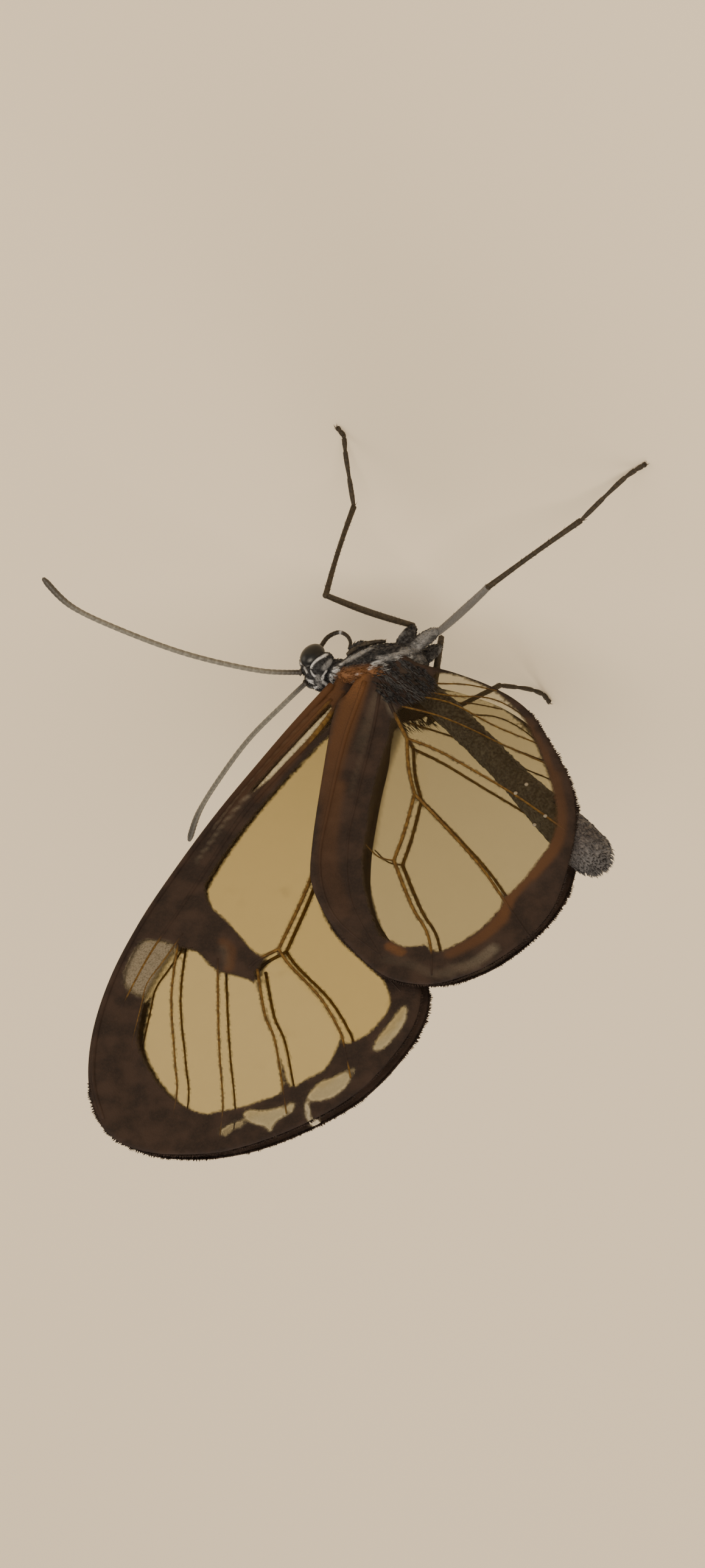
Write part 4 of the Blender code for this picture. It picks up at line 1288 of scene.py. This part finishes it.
# How many hairs each limb has, and how long they are
LIMB_HAIRS = {"femur": (160, 0.16), "tibia": (140, 0.17), "tarsus": (110, 0.1), "foreleg": (260, 0.12)}
HAIR_WIDTH = 0.014
HAIR_CLEARANCE = 0.02
HAIR_LIE = 0.85
HAIR_RISE = 0.5
HAIR_LENGTHS = (0.6, 1.3)


def add_limb(shape, limb, line, radii, marks, draw):
    """One limb of a leg, with short hairs that lie towards its end."""
    shape.add(*tube(line, radii), marks)
    count, length = LIMB_HAIRS[limb]
    for _ in range(count):
        i = draw.randrange(1, len(line) - 1)
        along = unit(line[i + 1] - line[i])
        out = square_to(scatter(draw, 1.0), along)
        root = line[i] + out * radii[i] * 0.8
        tip = root + (along * HAIR_LIE + out * HAIR_RISE) * length * draw.uniform(*HAIR_LENGTHS)
        if min(tip[2], root[2]) < HAIR_CLEARANCE:
            continue
        shape.add(*spike(root, tip, HAIR_WIDTH, draw.uniform(0.0, math.pi)), marks)


def bowed_line(start, end, t, bow):
    """Points at the shares t of a line from start to end that bends aside by bow at its middle."""
    return start + np.outer(t, end - start) + np.outer(np.sin(math.pi * t), bow)


def make_leg(name, paint):
    draw = random.Random(name)
    hip, knee, ankle, sole, claw = (np.array(p) for p in LEG_POINTS[name])
    shape = Shape(*BODY_MARKS)
    stout = name == "hindleg_right"
    t = np.linspace(0.0, 1.0, LIMB_STEPS)
    inner = hip - (knee - hip) * 0.06
    femur = bowed_line(inner, knee, t, FEMUR_BOW)
    thickness = HIND_FEMUR_RADIUS if stout else FEMUR_RADIUS
    radii = thickness * (0.8 + 0.3 * np.sin(math.pi * (0.15 + 0.75 * t)))
    add_limb(shape, "femur", femur, radii, HIND_FEMUR_MARKS if stout else FEMUR_MARKS, draw)
    ball, ball_faces = ball_shape(14, 10)
    shape.add(ball * KNEE_RADIUS + knee, ball_faces, LEG_MARKS)
    radii = TIBIA_RADIUS * (1.05 - 0.2 * np.sin(math.pi * t))
    add_limb(shape, "tibia", bowed_line(knee, ankle, t, TIBIA_BOW), radii, LEG_MARKS, draw)
    add_spurs(shape, ankle, unit(ankle - knee))
    flat = unit((claw - ankle) * (1.0, 1.0, 0.0))
    rest = np.array((0.0, 0.0, TARSUS_RADIUS))
    line = smooth_line([ankle, sole, claw - flat * FOOT_LENGTH + rest, claw + rest], 20)
    line[:, 2] = np.maximum(line[:, 2], TARSUS_RADIUS)
    phase = (np.linspace(0.0, 1.0, len(line)) * TARSUS_SEGMENTS) % 1.0
    radii = TARSUS_RADIUS * (0.72 + 0.28 * soft_step(phase, 0.0, 0.5) - 0.12 * soft_step(phase, 0.85, 1.0))
    add_limb(shape, "tarsus", line, radii, LEG_MARKS, draw)
    add_claws(shape, claw + rest, flat)
    nodes = [name + "_femur", name + "_tibia", name + "_tarsus"]
    make_piece(name + "_skin", shape, [paint], nodes)


def add_spurs(shape, ankle, down):
    """Two short spurs at the end of the tibia."""
    outward = unit(np.cross(down, UP))
    for way in SIDES:
        tip = ankle + down * SPUR_LENGTH + outward * way * SPUR_SPREAD
        shape.add(*spike(ankle - down * SPUR_ROOT, tip, SPUR_WIDTH), LEG_MARKS)


def add_claws(shape, end, flat):
    """Two claws at the end of the tarsus that curve down to the floor."""
    across = np.cross(flat, UP)
    hook = end + CLAW_LIFT
    for way in SIDES:
        tip = hook + flat * CLAW_LENGTH + across * way * CLAW_SPREAD - CLAW_DROP
        shape.add(*spike(hook - flat * CLAW_ROOT, tip, CLAW_WIDTH, bend=CLAW_BEND), LEG_MARKS)


FORELEG_PATH = [(1.05, 0.62, 6.6), (0.7, 0.68, 6.05), (0.1, 0.66, 5.6), (-0.35, 0.62, 5.4)]
FORELEG_RADII = (0.11, 0.12, 0.07)


def make_legs():
    paint = scale_paint("leg_scales", LEG_BROWN, LEG_GOLD)
    for name in LEG_POINTS:
        make_leg(name, paint)
    for side in SIDES:
        name = side_name("foreleg", side)
        draw = random.Random(name)
        line = smooth_line(on_side(FORELEG_PATH, side), 8)
        radii = np.interp(np.linspace(0, 1, len(line)), (0, 0.5, 1), FORELEG_RADII)
        shape = Shape(*BODY_MARKS)
        add_limb(shape, "foreleg", line, radii, FORELEG_MARKS, draw)
        make_piece(name + "_skin", shape, [paint], [name])


# Floor, light and camera
FLOOR_COLOUR = (0.72, 0.61, 0.46)
CAMERA_PLACE = (-70.83, -171.35, 142.7)
CAMERA_AZIMUTH = -22.0
CAMERA_ELEVATION = 35.0
CAMERA_ROLL = 205.0
FOCAL_PIXELS = 8280.0
IMAGE_HEIGHT = 2576.0
SENSOR_HEIGHT = 24.0
FLOOR_SIZE = 3.0


def make_floor():
    mesh = bpy.data.meshes.new("floor")
    corners = [(-1, -1), (1, -1), (1, 1), (-1, 1)]
    mesh.from_pydata([(x * FLOOR_SIZE, y * FLOOR_SIZE, 0.0) for x, y in corners], [], [(0, 1, 2, 3)])
    mesh.materials.append(Paint("floor_pale", Roughness=0.85, Base_Color=FLOOR_COLOUR).material)
    floor = add_object("floor", mesh)


# Place, size and power of each lamp, in the frame's metres
LAMPS = {
    "key": ((-0.25, -0.35, 0.55), 0.4, 4.3),
    "fill": ((0.5, -0.25, 0.3), 0.5, 1.4),
    "rim": ((-0.1, 0.5, 0.4), 0.4, 1.3),
}
LAMP_COLOUR = (1.0, 0.89, 0.72)
LAMP_AIM = Vector((0.0, 0.0, 0.012))
SKY_COLOUR = (1.0, 0.91, 0.76, 1.0)
SKY_STRENGTH = 0.72


def make_light():
    for name, (place, size, power) in LAMPS.items():
        light = bpy.data.lights.new(name, "AREA")
        light.shape = "DISK"
        light.size = size
        light.energy = power
        light.color = LAMP_COLOUR
        lamp = add_object(name, light)
        lamp.location = place
        lamp.rotation_euler = (LAMP_AIM - Vector(place)).to_track_quat("-Z", "Y").to_euler()
    world = bpy.data.worlds.new("studio")
    world.use_nodes = True
    sky = world.node_tree.nodes["Background"]
    sky.inputs["Color"].default_value = SKY_COLOUR
    sky.inputs["Strength"].default_value = SKY_STRENGTH
    bpy.context.scene.world = world


def make_camera():
    angles = (CAMERA_AZIMUTH, CAMERA_ELEVATION, CAMERA_ROLL)
    azimuth, elevation, roll = (math.radians(angle) for angle in angles)
    back = Vector((
        math.sin(azimuth) * math.cos(elevation),
        -math.cos(azimuth) * math.cos(elevation),
        math.sin(elevation),
    ))
    level = Vector((math.cos(azimuth), math.sin(azimuth), 0.0))
    upright = back.cross(level)
    right = math.cos(roll) * level + math.sin(roll) * upright
    up = back.cross(right)
    data = bpy.data.cameras.new("camera")
    data.sensor_fit = "VERTICAL"
    data.sensor_height = SENSOR_HEIGHT
    data.lens = FOCAL_PIXELS * SENSOR_HEIGHT / IMAGE_HEIGHT
    data.clip_start = 0.005
    camera = add_object("camera", data)
    turn = Matrix((right, up, back)).transposed().to_4x4()
    camera.matrix_world = Matrix.Translation(in_frame([CAMERA_PLACE])[0].tolist()) @ turn
    bpy.context.scene.camera = camera


make_wings()
make_thorax()
make_head()
make_antennae()
make_proboscis()
make_abdomen()
make_legs()
make_floor()
make_light()
make_camera()

bpy.context.view_layer.update()
